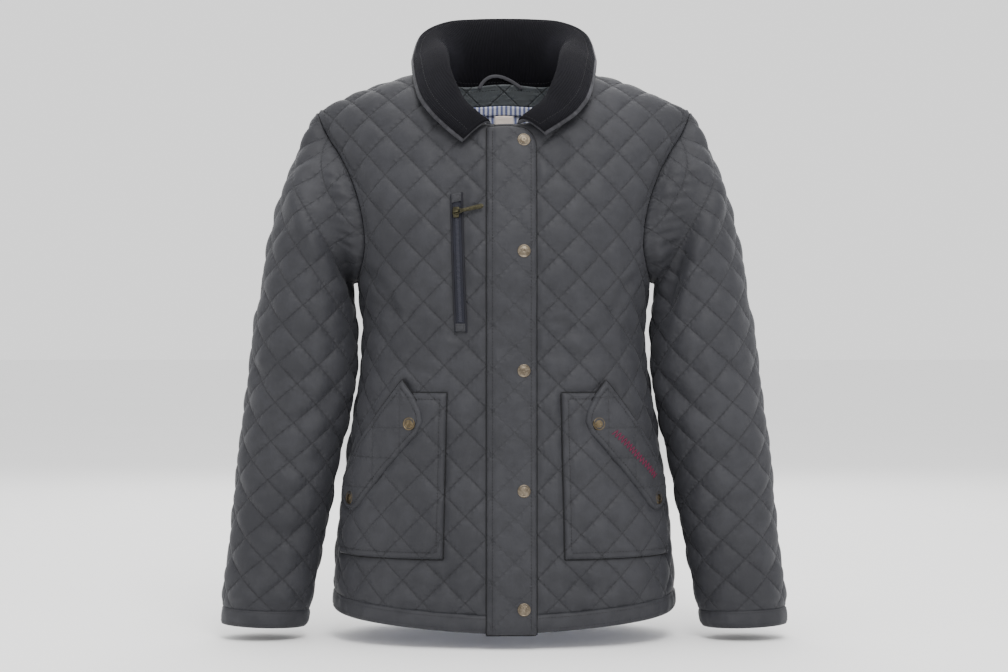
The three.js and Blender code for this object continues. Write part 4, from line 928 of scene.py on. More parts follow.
# The darkest charcoal is painted along the quilting lines as the shade in their grooves.
CHARCOAL, CHARCOAL_WORN, CHARCOAL_GROOVE_SHADE = srgb(35, 35.5, 39.5), srgb(44, 44.5, 48.5), srgb(13, 13, 16)
# The corduroy's dark and light, painted in the wale grooves as shade and on the wale tops as highlight.
CORD_DARK, CORD_LIGHT = srgb(8, 8, 11), srgb(17, 16, 22)
THREAD = srgb(36, 36, 40)


def weave(across, up, pitch):
    """The ups and downs of a plain weave, whose threads lie a pitch apart."""
    k = HALF_DIAMOND / pitch * math.pi
    return (across * k).sine() * (up * k).sine()


def quilted(name="quilted_nylon", stitched=True, base=CHARCOAL, worn=CHARCOAL_WORN, mark=0.42):
    """Thin matt nylon over padding, gathered along its quilting stitches, with shade painted darker along each
    stitch line's groove.
    """
    f = Finish(name)
    across, up = f.flat_place()
    cloudy = f.speckle(9.0, 4.0, 0.6)
    fine = f.speckle(420.0, 2.0, 0.5)
    creased = f.speckle(62.0, 6.0, 0.66)
    height = weave(across, up, SHELL_PITCH) * 0.03 + fine * 0.08 + creased * 0.60
    color = f.blend((cloudy * 0.5 + creased * 0.5).between(0.38, 0.64), base, worn)
    rough = 0.60 + fine * 0.10 - cloudy * 0.06
    if stitched:
        reach = HALF_DIAMOND / math.sqrt(2)
        wander = (f.speckle(26.0, 3.0, 0.6) - 0.5) * 0.9
        for along, way in ((across - up, across + up), (across + up, across - up)):
            off = abs(way - (way * 0.5).rounded() * 2) * reach
            step = along * reach
            near = abs(off + wander * off.between(0.2, 5.0))
            gather = (step * (2 * math.pi / GATHER_PITCH) + creased * 13.0).sine()
            gather = gather * off.between(0.8, 6.5, 1.0, 0.0) * off.between(0.2, 1.2)
            height = height + gather * 0.24
            dash = abs((step / STITCH_PITCH) % 1.0 - 0.5).between(0.36, 0.42, 1.0, 0.0)
            thread = off.between(0.20, 0.45, 1.0, 0.0) * dash
            height = height + thread * 0.15 - near.between(0.0, 1.5, 0.45, 0.0) * (mark * 2)
            # Painted shade: the colour darkens towards the darkest charcoal in each stitch line's groove, by
            # mark.
            deep = near.between(0.15, 1.5, 1.0, 0.0) * creased.between(0.36, 0.62, 0.45, 1.0)
            color = f.blend(deep * mark, color, CHARCOAL_GROOVE_SHADE)
            color = f.blend(thread * mark * 0.6, color, THREAD)
    return f.done(base_color=color, roughness=rough, normal=f.bump(height, 0.0013, 0.85), sheen_weight=0.05,
                  sheen_roughness=0.5, sheen_tint=(0.9, 0.92, 1.0), specular_ior_level=0.26)


def corduroy():
    f = Finish("corduroy")
    across, _ = f.flat_place()
    wale = (across * (HALF_DIAMOND / WALE_PITCH) * 2 * math.pi + f.speckle(60.0, 3.0) * 1.2).sine()
    tuft = f.speckle(1500.0, 3.0, 0.7)
    crushed = f.speckle(38.0, 4.0, 0.6)
    height = wale * 0.5 + tuft * 0.35 + crushed * 0.25
    # Painted shade and highlight: the colour follows the wale's bump, darker in the grooves and lighter on the
    # tops, varied by the crushed pattern.
    ridge = (wale * 0.5 + 0.5) * (crushed * 0.8 + 0.35)
    color = f.blend(ridge.between(0.2, 1.0), CORD_DARK, CORD_LIGHT)
    return f.done(base_color=color, roughness=0.93 - ridge * 0.1, normal=f.bump(height, 0.0009, 0.9),
                  sheen_weight=0.03, sheen_roughness=0.4, sheen_tint=(0.7, 0.7, 0.9), specular_ior_level=0.10)


def brass(name="antique_brass", dull=srgb(84, 76, 65), plain=srgb(112, 103, 90), bright=srgb(190, 178, 158)):
    """Dull brass, darker where it has tarnished, and brighter on worn spots."""
    f = Finish(name)
    stain, grit = f.speckle(160.0, 4.0, 0.65), f.speckle(900.0, 3.0, 0.6)
    color = f.blend(stain.between(0.38, 0.60), dull, plain)
    color = f.blend(grit.between(0.58, 0.76, 0.0, 0.6), color, bright)
    return f.done(base_color=color, metallic=1.0, roughness=0.30 + stain * 0.25,
                  normal=f.bump(grit + stain, 0.00025, 0.5))


def zip_coil():
    """Dark navy nylon teeth."""
    f = Finish("zip_teeth")
    worn = f.speckle(700.0, 3.0, 0.6)
    return f.done(base_color=f.blend(worn, srgb(20, 21, 31), srgb(44, 46, 60)), roughness=0.42 + worn * 0.2,
                  normal=f.bump(worn, 0.0002, 0.4), specular_ior_level=0.5)


def plain_cloth(name, color, pitch=0.5, lighter=1.25, sheen=0.15, rough=0.8):
    f = Finish(name)
    across, up = f.flat_place()
    threads = weave(across, up, pitch)
    cloudy = f.speckle(30.0, 4.0, 0.6)
    mixed = f.blend((threads * 0.25 + cloudy).between(0.3, 0.8), color, lighter_by(color, lighter))
    return f.done(base_color=mixed, roughness=rough, normal=f.bump(threads * 0.4 + cloudy * 0.3, 0.0004, 0.7),
                  sheen_weight=sheen, specular_ior_level=0.3)


def striped():
    """Blue and white shirting stripes, up the cloth."""
    f = Finish("striped_lining")
    across, up = f.flat_place()
    step = abs((across * HALF_DIAMOND / STRIPE_PITCH) % 1.0 - 0.5)
    wide = step.between(0.23, 0.27, 1.0, 0.0)
    threads = weave(across, up, SHIRTING_PITCH)
    cloudy = f.speckle(40.0, 3.0)
    color = f.blend(wide, srgb(206, 208, 218), srgb(72, 84, 138))
    color = f.blend(threads.between(-1.0, 1.0, 0.0, 0.22), color, srgb(236, 238, 244))
    return f.done(base_color=color, roughness=0.75, normal=f.bump(threads * 0.3 + cloudy * 0.3, 0.0004, 0.6))


def sewing_thread(name, color):
    f = Finish(name)
    twist = f.speckle(2600.0, 2.0, 0.6)
    return f.done(base_color=f.blend(twist, color, lighter_by(color, 1.5)), roughness=0.6,
                  normal=f.bump(twist, 0.0002, 0.6), sheen_weight=0.05, specular_ior_level=0.25)


SHELL, PLAIN_SHELL, CORD, BRASS = quilted(), quilted("nylon_band", False), corduroy(), brass()
STRIP_SHELL, FLAP_SHELL = quilted("nylon_strip", mark=0.16), quilted("nylon_flap", mark=0.28)
FLAP_BRASS = brass("flap_brass", srgb(74, 65, 50), srgb(100, 89, 70), srgb(150, 136, 110))
DARK_BRASS = brass("dark_brass", srgb(50, 48, 38), srgb(66, 63, 49), srgb(112, 105, 84))
COLLAR_EDGING = quilted("collar_edging", False, srgb(29, 29, 33), srgb(62, 62, 67))
LINING = striped()
SLEEVE_LINING = plain_cloth("sleeve_lining", srgb(36, 36, 40), 0.5, 1.3, 0.1, 0.6)
FACING = quilted("neck_facing_cloth", True, srgb(78, 82, 84), srgb(90, 94, 96), 0.6)
LABEL_CLOTH = plain_cloth("label_tape", srgb(252, 238, 226), 0.5, 1.02)
RIBBON = plain_cloth("loop_ribbon", srgb(62, 62, 66), 0.7, 1.9, 0.05)
ZIP_CLOTH = plain_cloth("zip_tape", srgb(19, 20, 29), 1.1, 1.5, 0.03)
# Near-black, darker than the shell that the piping is rolled from: painted shadow beside the zip.
ZIP_EDGE_SHADE = plain_cloth("zip_edge_shade_cloth", srgb(14, 14, 21), 0.6, 1.5, 0.0)
ZIP_TEETH = zip_coil()
# The stitching thread: its own dark colour, made darker than the shell so that each row of stitches also
# paints the shade of the groove it lies in.
GREY_THREAD = sewing_thread("grey_thread", srgb(24, 24, 27))
# Near-black, for the cords that paint the shadow under the edges of sewn-on pieces.
EDGE_SHADOW = plain_cloth("edge_shadow_cord", srgb(11, 11, 13), 0.6, 1.3, 0.0)
CRIMSON_THREAD = sewing_thread("crimson_thread", srgb(78, 5, 40))


def dress(piece, *materials, slot, body="garment", replaces=()):
    """Gives a finished piece its materials and its body, and hides the solids that it stands for."""
    for material in materials:
        piece.data.materials.append(material)
    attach(piece, body)
    if replaces:
        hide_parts(*replaces)
    return piece


def cloth(made):
    """Hands the piece back unchanged."""
    return made


def sewn_piece(name, piece, solid, outer, inner=None, slot="quilted_shell",
               held="hung", rests_on=(), **shape):
    """A finished piece of cloth that stands for its solid."""
    made = dress(shell(name, piece, **shape), outer, inner or outer, slot=slot, replaces=[solid])
    return cloth(made)


# Folds, placed where the picture shows them

def in_picture(points):
    """Where points of the garment come in the picture, in its pixels."""
    far = CAMERA_FAR + points[..., 1]
    across = points[..., 0] / MM_PER_PIXEL * CAMERA_FAR / far
    down = -(points[..., 2] - CAMERA_Z) / MM_PER_PIXEL * CAMERA_FAR / far
    return np.stack([PICTURE_WIDTH / 2 + across, PICTURE_HEIGHT / 2 + down], -1)


def as_marks(piece, pixels):
    """The places on a flat piece that come at some pixels of the picture."""
    seen = in_picture(piece.surface.point(piece.s, piece.v))
    facing = piece.surface.normal(piece.s, piece.v)[:, 1] < 0.1
    marks = []
    for pixel in pixels:
        away = np.where(facing, np.hypot(*(seen - pixel).T), np.inf)
        k = int(np.argmin(away))
        marks.append((piece.s[k], piece.h[k]))
    return np.array(marks, float)


def from_line(line, s, h):
    """The distance from each place to a row of points, and how far along the row its nearest point is."""
    lengths = running(line)
    best, along = np.full(len(s), np.inf), np.zeros(len(s))
    for a, b, l0, l1 in zip(line[:-1], line[1:], lengths[:-1], lengths[1:]):
        d = b - a
        t = np.clip(((s - a[0]) * d[0] + (h - a[1]) * d[1]) / max(d.dot(d), 1e-9), 0, 1)
        gap = np.hypot(s - a[0] - t * d[0], h - a[1] - t * d[1])
        closer = gap < best
        best[closer], along[closer] = gap[closer], (l0 + t * (l1 - l0))[closer]
    return best, along, lengths[-1]


def troughs(piece, creases):
    """Creases on the flat piece, each (places, width, depth): a trough with a soft swelling beside it."""
    relief = np.zeros(len(piece.s))
    for marks, width, depth in creases:
        line = through(marks, 8) if len(marks) > 2 else np.array(marks, float)
        best, along, whole = from_line(line, piece.s, piece.h)
        taper = soft(np.minimum(along, whole - along) / (0.25 * whole) + 0.15)
        shape = -np.exp(-((best / width) ** 2)) + 0.5 * np.exp(-(((best - 2 * width) / width) ** 2))
        relief += depth * taper * shape
    return relief * soft(piece.inset / 12)


def folds(piece, creases):
    """Creases that are given by their pixels in the picture."""
    return troughs(piece, [(as_marks(piece, pixels), width, depth) for pixels, width, depth in creases])


def hills(s, h, size, seed):
    """Smooth random hills from -1 to 1, a size apart."""
    table = np.random.RandomState(seed).uniform(-1, 1, (64, 64))
    x, y = s / size, h / size
    i, j = np.floor(x).astype(int), np.floor(y).astype(int)
    a, b = soft(x - i), soft(y - j)
    at = lambda k, m: table[(i + k) % 64, (j + m) % 64]
    return (at(0, 0) * (1 - a) + at(1, 0) * a) * (1 - b) + (at(0, 1) * (1 - a) + at(1, 1) * a) * b


def unevenness(piece, amount, seed):
    """Slow swells of worn cloth, and small creases that run at all angles."""
    s, h = piece.s, piece.h
    total = 0.9 * hills(s, h, 95, seed) + 0.5 * hills(s, h, 47, seed + 20)
    for k, (size, share) in enumerate(((31, 0.55), (17, 0.42), (10, 0.22))):
        turn = seed * 1.3 + k * 2.1
        across, along = s * math.cos(turn) + h * math.sin(turn), h * math.cos(turn) - s * math.sin(turn)
        total = total + share * (1 - 2.6 * np.abs(hills(across, along * 0.55, size, seed + 40 + k)))
    return amount * total / 2 * soft(piece.inset / 14)


# Creases of the sleeves, on the flat sleeve: places along each, its width and its depth
DEEP_CREASE = {
    "left": [(38, 538), (59, 513), (79, 485), (96, 461), (112, 436), (125, 411), (137, 380), (146, 346)],
    "right": [(45, 541), (66, 514), (84, 488), (107, 456), (130, 433), (163, 403), (174, 371)],
}
SLEEVE_CREASES = {
    "left": [([(88, 330), (70, 300), (40, 285)], 9, 2.6), ([(150, 300), (120, 262), (84, 240)], 9, 2.2),
             ([(-20, 420), (10, 380), (44, 352)], 12, 1.8), ([(60, 120), (95, 96), (132, 90)], 9, 2.2),
             ([(20, 190), (58, 176), (92, 186)], 10, 1.8), ([(-110, 360), (-80, 320), (-40, 300)], 11, 2.2)],
    "right": [([(20, 300), (55, 285), (90, 290)], 9, 2.6), ([(140, 290), (112, 250), (70, 236)], 9, 2.2),
              ([(-10, 400), (24, 372), (60, 360)], 12, 1.8), ([(40, 140), (80, 110), (120, 112)], 9, 2.4),
              ([(70, 205), (100, 190), (134, 200)], 9, 1.8),
              ([(-100, 340), (-70, 310), (-36, 300)], 11, 2.2)],
}
# Creases of the fronts, by their pixels in the picture
FRONT_CREASES = {
    "front_right": [
        ([(398, 362), (415, 368), (440, 374)], 5, 1.8),
        ([(372, 300), (400, 312), (430, 330)], 8, 1.8),
        ([(366, 268), (385, 285), (400, 320)], 7, 2.2),
        ([(380, 580), (420, 585), (460, 575)], 8, 1.5),
    ],
    "front_left": [
        ([(547, 325), (562, 322), (577, 329)], 4, 2.0),
        ([(545, 340), (565, 330), (585, 338)], 5, 1.5),
        ([(640, 268), (622, 290), (610, 322)], 7, 2.2),
        ([(552, 350), (580, 358), (610, 352)], 7, 1.6),
        ([(555, 580), (600, 588), (640, 578)], 8, 1.5),
    ],
}


def ladder(marks, spacing, reach, depth, start=5, wide=4.0, n=64):
    """Short creases that run off a long one, square to it, towards the armhole."""
    line = evenly(through(marks, 8), n)
    whole = running(line)[-1]
    rungs = []
    for k in range(1, int(whole / spacing)):
        i = int(round(k * spacing / whole * n))
        ahead = unit(line[min(n, i + 1)] - line[i - 1])
        side = np.array([-ahead[1], ahead[0]])
        length = reach * (0.75 + 0.25 * math.sin(k * 2.4))
        lean = ahead * 5 * math.sin(k * 1.7)
        places = [line[i] + side * start, line[i] + side * (start + length) + lean]
        rungs.append((places, wide, depth * (0.8 + 0.3 * math.cos(k * 1.9))))
    return rungs


def as_flat(surface, outline):
    outline = divided(outline)
    return np.stack([outline[:, 0], surface.to_flat(outline[:, 0], outline[:, 1])], 1)


PLACKET, ZIP_BOX = placket_outline(), zip_frame(4)
POCKETS = {"left": pocket_outline(1), "right": pocket_outline(-1)}
FLAPS = {"left": flap_outline(1), "right": flap_outline(-1)}


# Sewing

def stitch_groove(piece, inset, depth=0.8):
    """How far a row of stitches pulls the cloth down, at a distance from the piece's edge."""
    return depth * np.exp(-(((piece.inset - inset) / 1.5) ** 2))


def drawn_in(outline, distance):
    """An outline a distance inside another, closed."""
    p = np.asarray(outline, float)
    turn = np.sign(np.sum(p[:, 0] * np.roll(p[:, 1], -1) - p[:, 1] * np.roll(p[:, 0], -1)))
    before, after = unit(p - np.roll(p, 1, 0)), unit(np.roll(p, -1, 0) - p)
    square = lambda d: np.stack([-d[:, 1], d[:, 0]], 1) * turn
    middle = square(before) + square(after)
    inner = p + distance * middle * 2 / np.maximum((middle * middle).sum(1, keepdims=True), 0.8)
    return np.vstack([inner, inner[:1]])


def on_cloth(made, surface, line, mirror=False, inward=False):
    """Where a line of pattern coordinates lies on a finished piece, and which way its cloth faces there."""
    points = surface.lay(line[:, 0], line[:, 1], np.full(len(line), -12.0 if inward else 14.0))
    normals = surface.normal(line[:, 0], line[:, 1]) * (-1 if inward else 1)
    if mirror:
        points, normals = points * [-1, 1, 1], normals * [-1, 1, 1]
    mesh = made.data
    tree = BVHTree.FromPolygons([v.co for v in mesh.vertices], [tuple(f.vertices) for f in mesh.polygons])
    found = []
    for p, n in zip(points, normals):
        hit = tree.ray_cast(Vector(p / 1000), Vector(-n), 0.03)[0]
        found.append(np.array(hit) * 1000 if hit else None)
    keep = [i for i, hit in enumerate(found) if hit is not None]
    return np.array([found[i] for i in keep]).reshape(-1, 3), normals[keep]


def tube(rings):
    """A closed skin over rings of points: (rings, points round each, 3)."""
    n, m = rings.shape[:2]
    points = np.vstack([rings.reshape(-1, 3), rings[:1].mean(1), rings[-1:].mean(1)])
    faces = [(i * m + k, i * m + (k + 1) % m, (i + 1) * m + (k + 1) % m, (i + 1) * m + k)
             for i in range(n - 1) for k in range(m)]
    faces += [(n * m, (k + 1) % m, k) for k in range(m)]
    faces += [(n * m + 1, (n - 1) * m + k, (n - 1) * m + (k + 1) % m) for k in range(m)]
    return points, faces


def round_thread(centres, radius, across, up, sides=6):
    """Rings of points round a row of centres."""
    angle = np.linspace(0, 2 * math.pi, sides, endpoint=False)[None, :, None]
    return centres[:, None] + radius * (np.cos(angle) * across + np.sin(angle) * up)


def cable(name, points, normals, radius, sides=6):
    """A thread along a row of points."""
    ahead = unit(np.gradient(points, axis=0))
    across = unit(np.cross(ahead, normals))
    up = np.cross(across, ahead)
    return make(name, *tube(round_thread(points, radius, across[:, None], up[:, None], sides)))


def sew(name, made, surface, runs, mirror=False, inward=False, heavy=1.0):
    """Rows of stitches on a finished piece, each stitch a short thread whose ends go into the cloth."""
    parts, faces, count = [], [], 0
    shares = np.array([-1, -0.75, 0, 0.75, 1])
    sizes = np.array([0.35, 0.85, 1, 0.85, 0.35]) * STITCH_THICK * heavy / 2
    sunk = np.array([-0.75, -0.05, 0.3, -0.05, -0.75]) * STITCH_THICK
    for run in runs:
        run = np.asarray(run, float)
        dense = evenly(run, max(2, int(running(run)[-1] / 2.5)))
        laid = surface.point(dense[:, 0], dense[:, 1])
        lengths = running(laid)
        at = np.arange(STITCH_PITCH / 2, lengths[-1], STITCH_PITCH)
        line = np.stack([np.interp(at, lengths, dense[:, k]) for k in range(2)], 1)
        points, normals = on_cloth(made, surface, line, mirror, inward)
        if len(points) < 3:
            continue
        ahead = unit(np.gradient(points, axis=0))
        across = unit(np.cross(ahead, normals))
        for p, a, b, n in zip(points, ahead, across, unit(np.cross(across, ahead))):
            centres = p + np.outer(shares * STITCH_LENGTH / 2, a) + np.outer(sunk, n)
            skin, sides = tube(round_thread(centres, sizes[:, None, None], b, n))
            parts.append(skin)
            faces.extend(tuple(i + count for i in face) for face in sides)
            count += len(skin)
    if parts:
        dress(make(name, np.vstack(parts), faces), GREY_THREAD, slot="quilted_shell")


# The garment's pieces


def body_panels():
    """The three quilted panels, with the seam round each armhole."""
    covers = [as_flat(front, outline) for outline in (PLACKET, ZIP_BOX, *POCKETS.values(), *FLAPS.values())]
    arm = armhole(front, ARM_STITCH, 60)
    fronts = (("front_right", True, ORIGIN_RIGHT, 1), ("front_left", False, ORIGIN_LEFT, 2))
    for name, right, origin, seed in fronts:
        piece = Piece(front_outline(right), front, CELL, BODY_DIAMOND, origin)
        relief = piece.puffs(PUFF, covers=covers) + unevenness(piece, 1.0, seed) + armhole_seam(piece, front)
        made = sewn_piece(name + "_quilted", piece, name, SHELL, LINING,
                          lift=folds(piece, FRONT_CREASES[name]), relief=np.maximum(relief, DEEPEST))
        sew(name + "_armhole_stitching", made, front, [arm * [-1 if right else 1, 1]])
    piece = Piece(back_outline(), back, CELL, BODY_DIAMOND, ORIGIN_BACK)
    relief = piece.puffs(PUFF) + unevenness(piece, 1.1, 3) + armhole_seam(piece, back)
    made = sewn_piece("back_quilted", piece, "back", SHELL, LINING, relief=np.maximum(relief, DEEPEST))
    arm = armhole(back, ARM_STITCH, 60)
    sew("back_armhole_stitching", made, back, [arm, arm * [-1, 1]])


def armhole_seam(piece, side):
    """The body's edge is turned under along the armhole: a ridge, and a groove where it is stitched down."""
    arm = armhole(side, 0, 60)
    line = np.stack([arm[:, 0], side.to_flat(arm[:, 0], arm[:, 1])], 1)
    gap, _, _ = from_line(line, np.abs(piece.s), piece.h)
    return 0.9 * np.exp(-(((gap - 3.5) / 2.2) ** 2)) - 0.9 * np.exp(-(((gap - ARM_STITCH) / 1.6) ** 2))


def hem_bands():
    """The plain bands under the panels."""
    whole = 999
    bands = {
        "hem_right": (front, HEM_Z, -whole, FRONT_EDGE - SHUT),
        "hem_left": (front, HEM_Z, FRONT_EDGE + SHUT, whole),
        "hem_back": (back, HEM_BACK_Z, -whole, whole),
    }
    for name, (side, low, start, stop) in bands.items():
        outline = hem_outline(side, low, start, stop)
        piece = Piece(outline, side, BAND_CELL)
        ripple = 1.5 * hills(piece.s, piece.h * 0.25, 10, 31) + 0.9 * hills(piece.s, piece.h * 0.4, 26, 32)
        edge = soft(piece.inset / 4)
        ripple = ripple * edge + 1.1 * edge - stitch_groove(piece, HEM_STITCH, 0.9)
        made = sewn_piece(name + "_band", piece, name, PLAIN_SHELL, LINING,
                          relief=np.maximum(ripple, DEEPEST_BAND))
        sew(name + "_stitching", made, side, [drawn_in(outline, HEM_STITCH)])


def sleeves_and_cuffs():
    arm = Piece(sleeve_outline(), sleeve, CELL, SLEEVE_DIAMOND, ORIGIN_SLEEVE)
    cuff = Piece(cuff_outline(), sleeve, BAND_CELL)
    for side, mirror, seed in (("left", False, 4), ("right", True, 5)):
        deep = DEEP_CREASE[side]
        creases = [(deep, 11, 8), *SLEEVE_CREASES[side], *ladder(deep, 17, 26, 1.5)]
        relief = arm.puffs(PUFF) + unevenness(arm, 1.1, seed)
        sewn_piece(f"sleeve_{side}_quilted", arm, f"sleeve_{side}", SHELL, SLEEVE_LINING,
                   lift=troughs(arm, creases), relief=np.maximum(relief, DEEPEST), mirror=mirror)
        ripple = 1.4 * hills(cuff.s, cuff.h * 0.3, 10, seed + 60) * soft(cuff.inset / 5) + soft(cuff.inset / 4)
        made = sewn_piece(f"cuff_{side}_band", cuff, f"cuff_{side}", PLAIN_SHELL, SLEEVE_LINING,
                          relief=ripple - stitch_groove(cuff, CUFF_STITCH), mirror=mirror)
        half = float(sleeve.half(CUFF_STITCH)) - 1
        runs = [np.array([(-half, v), (half, v)]) for v in (CUFF_STITCH, BAND - CUFF_STITCH_HIGH)]
        sew(f"cuff_{side}_stitching", made, sleeve, runs, mirror=mirror)


def edge_shadow_cord(name, outline, lift):
    """A thin dark cord that lies in the corner under the edge of a piece that is sewn on, put there as painted
    shadow: the shadow under that edge.
    """
    line = drawn_in(divided(outline), -0.5)
    line = evenly(line, int(running(line)[-1] / 3))
    normals = front.normal(line[:, 0], line[:, 1])
    height = lift(line[:, 0], line[:, 1]) + 0.4
    points = front.point(line[:, 0], line[:, 1]) + normals * height[:, None]
    dress(cable(name, points, normals, 0.65), EDGE_SHADOW, slot="quilted_shell")


def round_place(place, radius):
    """The edge of a snap's seat."""
    angle = np.linspace(0, 2 * math.pi, 17)[:-1]
    return np.stack([place[0] + radius * np.cos(angle), place[1] + radius * np.sin(angle)], 1)


def placket_strip():
    """The strip over the front opening, with its two rows of stitches."""
    piece = Piece(PLACKET, front, 2.75, BODY_DIAMOND, ORIGIN_PLACKET)
    seats = [as_flat(front, round_place((SNAP_S, front_v(z)), SNAP_RADIUS + 1)) for z in SNAP_Z]
    puff = 0.34 * piece.puffs(PUFF, 12, seats, 9)
    band = soft(piece.inset / 3) * 1.9 + 0.35 * hills(piece.s * 0.6, piece.h, 15, 66) * soft(piece.inset / 6)
    left = np.exp(-(((piece.s - PLACKET_STITCH[0]) / 1.3) ** 2))
    right = np.exp(-(((piece.s - PLACKET_STITCH[1]) / 1.7) ** 2))
    made = sewn_piece("placket_strip", piece, "placket", STRIP_SHELL, LINING, held="laid",
                      rests_on=["front_right", "front_left"], lift=ON_FRONT,
                      relief=band + puff - 2.2 * left - 1.0 * right)
    low, up = HEM_Z + 3, front.up_to(FRONT_NECK_Z) - 6
    runs = [np.array([(s, low), (s, up - (8 if s > 0 else 0))]) for s in PLACKET_STITCH]
    # Painted shadow along the placket's edge.
    edge_shadow_cord("placket_edge_shadow_cord", PLACKET, lambda s, v: ON_FRONT + 0 * s)
    sew("placket_stitching", made, front, runs, heavy=1.7)


def flap_lift(pocket, s, v):
    """A flap lies on its pocket, and beyond the pocket's edge it comes down to the front."""
    gap, _ = nearest(pocket, s, v)
    out = np.where(inside(pocket, s, v), 0, gap)
    return ON_FRONT + (ON_POCKET - ON_FRONT) * soft(1.6 - out / 16)


def pockets_and_flaps():
    """Each patch pocket under its slanted flap, both edged with a dark cord that is painted shadow under their
    edges.
    """
    for side, sign, origin in (("left", 1, ORIGIN_LEFT), ("right", -1, ORIGIN_RIGHT)):
        pocket, flap = f"pocket_{side}", f"flap_{side}"
        bag = Piece(POCKETS[side], front, BAND_CELL, BODY_DIAMOND, origin)
        edge = soft(bag.inset / 2.5) * 1.9 - stitch_groove(bag, POCKET_STITCH, 1.8)
        relief = bag.puffs(PUFF, covers=[as_flat(front, FLAPS[side])]) + edge + unevenness(bag, 0.6, 7 + sign)
        made = sewn_piece(pocket + "_bag", bag, pocket, SHELL, held="laid", rests_on=[f"front_{side}"],
                          lift=ON_FRONT, relief=np.maximum(relief, DEEPEST_BAND))
        # Painted shadow along the pocket's edge.
        edge_shadow_cord(pocket + "_edge_shadow_cord", POCKETS[side], lambda s, v: ON_FRONT + 0 * s)
        sew(pocket + "_stitching", made, front, [drawn_in(POCKETS[side], POCKET_STITCH)], heavy=1.5)

        middle = (sign * FLAP_MIDDLE[0], FLAP_MIDDLE[1])
        top = Piece(FLAPS[side], front, 2.3, BODY_DIAMOND, middle, upright=True)
        seats = [as_flat(front, round_place((sign * s, v), SNAP_RADIUS + 1)) for s, v in FLAP_SNAPS]
        edge = soft(top.inset / 2.5) * 2.3 - stitch_groove(top, FLAP_STITCH, 1.7)
        relief = top.puffs(1.5, 9, seats, 7) + edge + unevenness(top, 0.5, 70 + sign)
        made = sewn_piece(flap + "_top", top, flap, FLAP_SHELL, held="laid", rests_on=[pocket],
                          lift=flap_lift(POCKETS[side], top.s, top.v),
                          relief=np.maximum(relief, DEEPEST_BAND))
        # Painted shadow along the flap's edge.
        edge_shadow_cord(flap + "_edge_shadow_cord", FLAPS[side], lambda s, v: flap_lift(POCKETS[side], s, v))
        sew(flap + "_stitching", made, front, [drawn_in(FLAPS[side], FLAP_STITCH)], heavy=1.5)
        if side == "left":
            crimson_zigzag(made, top)


def crimson_zigzag(made, flap):
    """A regular zigzag of thick crimson thread, slanting down the flap."""
    (s0, h0), (s1, h1) = as_marks(flap, ZIGZAG_ENDS)
    start, stop = np.array([s0, h0]), np.array([s1, h1])
    length = np.hypot(*(stop - start))
    ahead = (stop - start) / length
    side = np.array([-ahead[1], ahead[0]])
    turns = int(length / ZIGZAG_STEP)
    corners = [start + ahead * length * k / turns + side * ZIGZAG_REACH * (1 if k % 2 else -1)
               for k in range(turns + 1)]
    line = np.vstack([np.linspace(a, b, 6)[:-1] for a, b in zip(corners[:-1], corners[1:])] + [corners[-1:]])
    flat = np.stack([line[:, 0], front.from_flat(line[:, 0], line[:, 1])], 1)
    points, normals = on_cloth(made, front, flat)
    made = cable("flap_left_zigzag", points + normals * 0.25, normals, 0.55)
    dress(made, CRIMSON_THREAD, slot="quilted_shell")


def collar_layers():
    """The corduroy, and the nylon under it, which shows as an edging."""
    outline = collar_outline(COLLAR_EDGE)
    cord = Piece(outline, collar, 2.6)
    relief = soft(cord.inset / 4) * 0.8 + 0.5 * unevenness(cord, 0.9, 9)
    relief = relief - 0.8 * stitch_groove(cord, COLLAR_STITCH)
    made = sewn_piece("collar_corduroy", cord, "collar_cord", CORD, slot="corduroy", held="folded",
                      rests_on=["front_right", "front_left", "back"], wall=COLLAR_WALL, relief=relief)
    sew("collar_stitching", made, collar, [drawn_in(outline, COLLAR_STITCH)[1:-1]])
    under = Piece(collar_outline(0), collar, 2.6)
    sewn_piece("collar_underside", under, "collar_under", COLLAR_EDGING, held="folded",
               rests_on=["collar_cord"], lift=-COLLAR_WALL - 0.5, wall=COLLAR_WALL,
               relief=soft(under.inset / 3) * 0.3)


def inside_neck():
    """The facing, the striped band under it and the label, which show inside the back neck."""
    edge = neckline(back, BACK_NECK_Z, 2.5, 28)[::-1]
    edge = edge[edge[:, 0] < 70]
    whole = np.vstack([mirrored(edge[1:]), edge])
    under = lambda depth: np.stack([whole[:, 0] * (1 - depth / 900), whole[:, 1] - depth], 1)
    strip = lambda start, stop: np.vstack([under(stop), under(start)[::-1]])
    facing_low, band_low = FACING_DEPTH - INSIDE_RISE, LINING_DEPTH - INSIDE_RISE
    low = float(under(LINING_DEPTH + SEAM - INSIDE_RISE)[:, 1].min())
    half, end = LABEL_WIDTH / 2, low - LABEL_HEIGHT
    label = np.array([(-half, end), (half, end), (half, low), (-half, low)])
    layers = {
        "neck_facing": (strip(-FACING_RISE, facing_low), FACING, "quilted_shell", THIN),
        "striped_band": (strip(FACING_DEPTH + SEAM - INSIDE_RISE, band_low), LINING, "striped_lining", THIN),
        "label": (label, LABEL_CLOTH, "label_tape", 0.8),
    }
    for name, (outline, material, slot, wall) in layers.items():
        piece = Piece(outline, back, 1.6 if name == "label" else 2.4)
        groove = stitch_groove(piece, FACING_GROOVE, 0.5) if name == "neck_facing" else 0
        made = sewn_piece(name + "_cloth", piece, name, material, slot=slot, held="laid", rests_on=["back"],
                          lift=-wall - 1.2 + groove, wall=wall)
        if name == "neck_facing":
            sew("neck_facing_stitching", made, back, [under(FACING_STITCH - FACING_RISE)], inward=True)


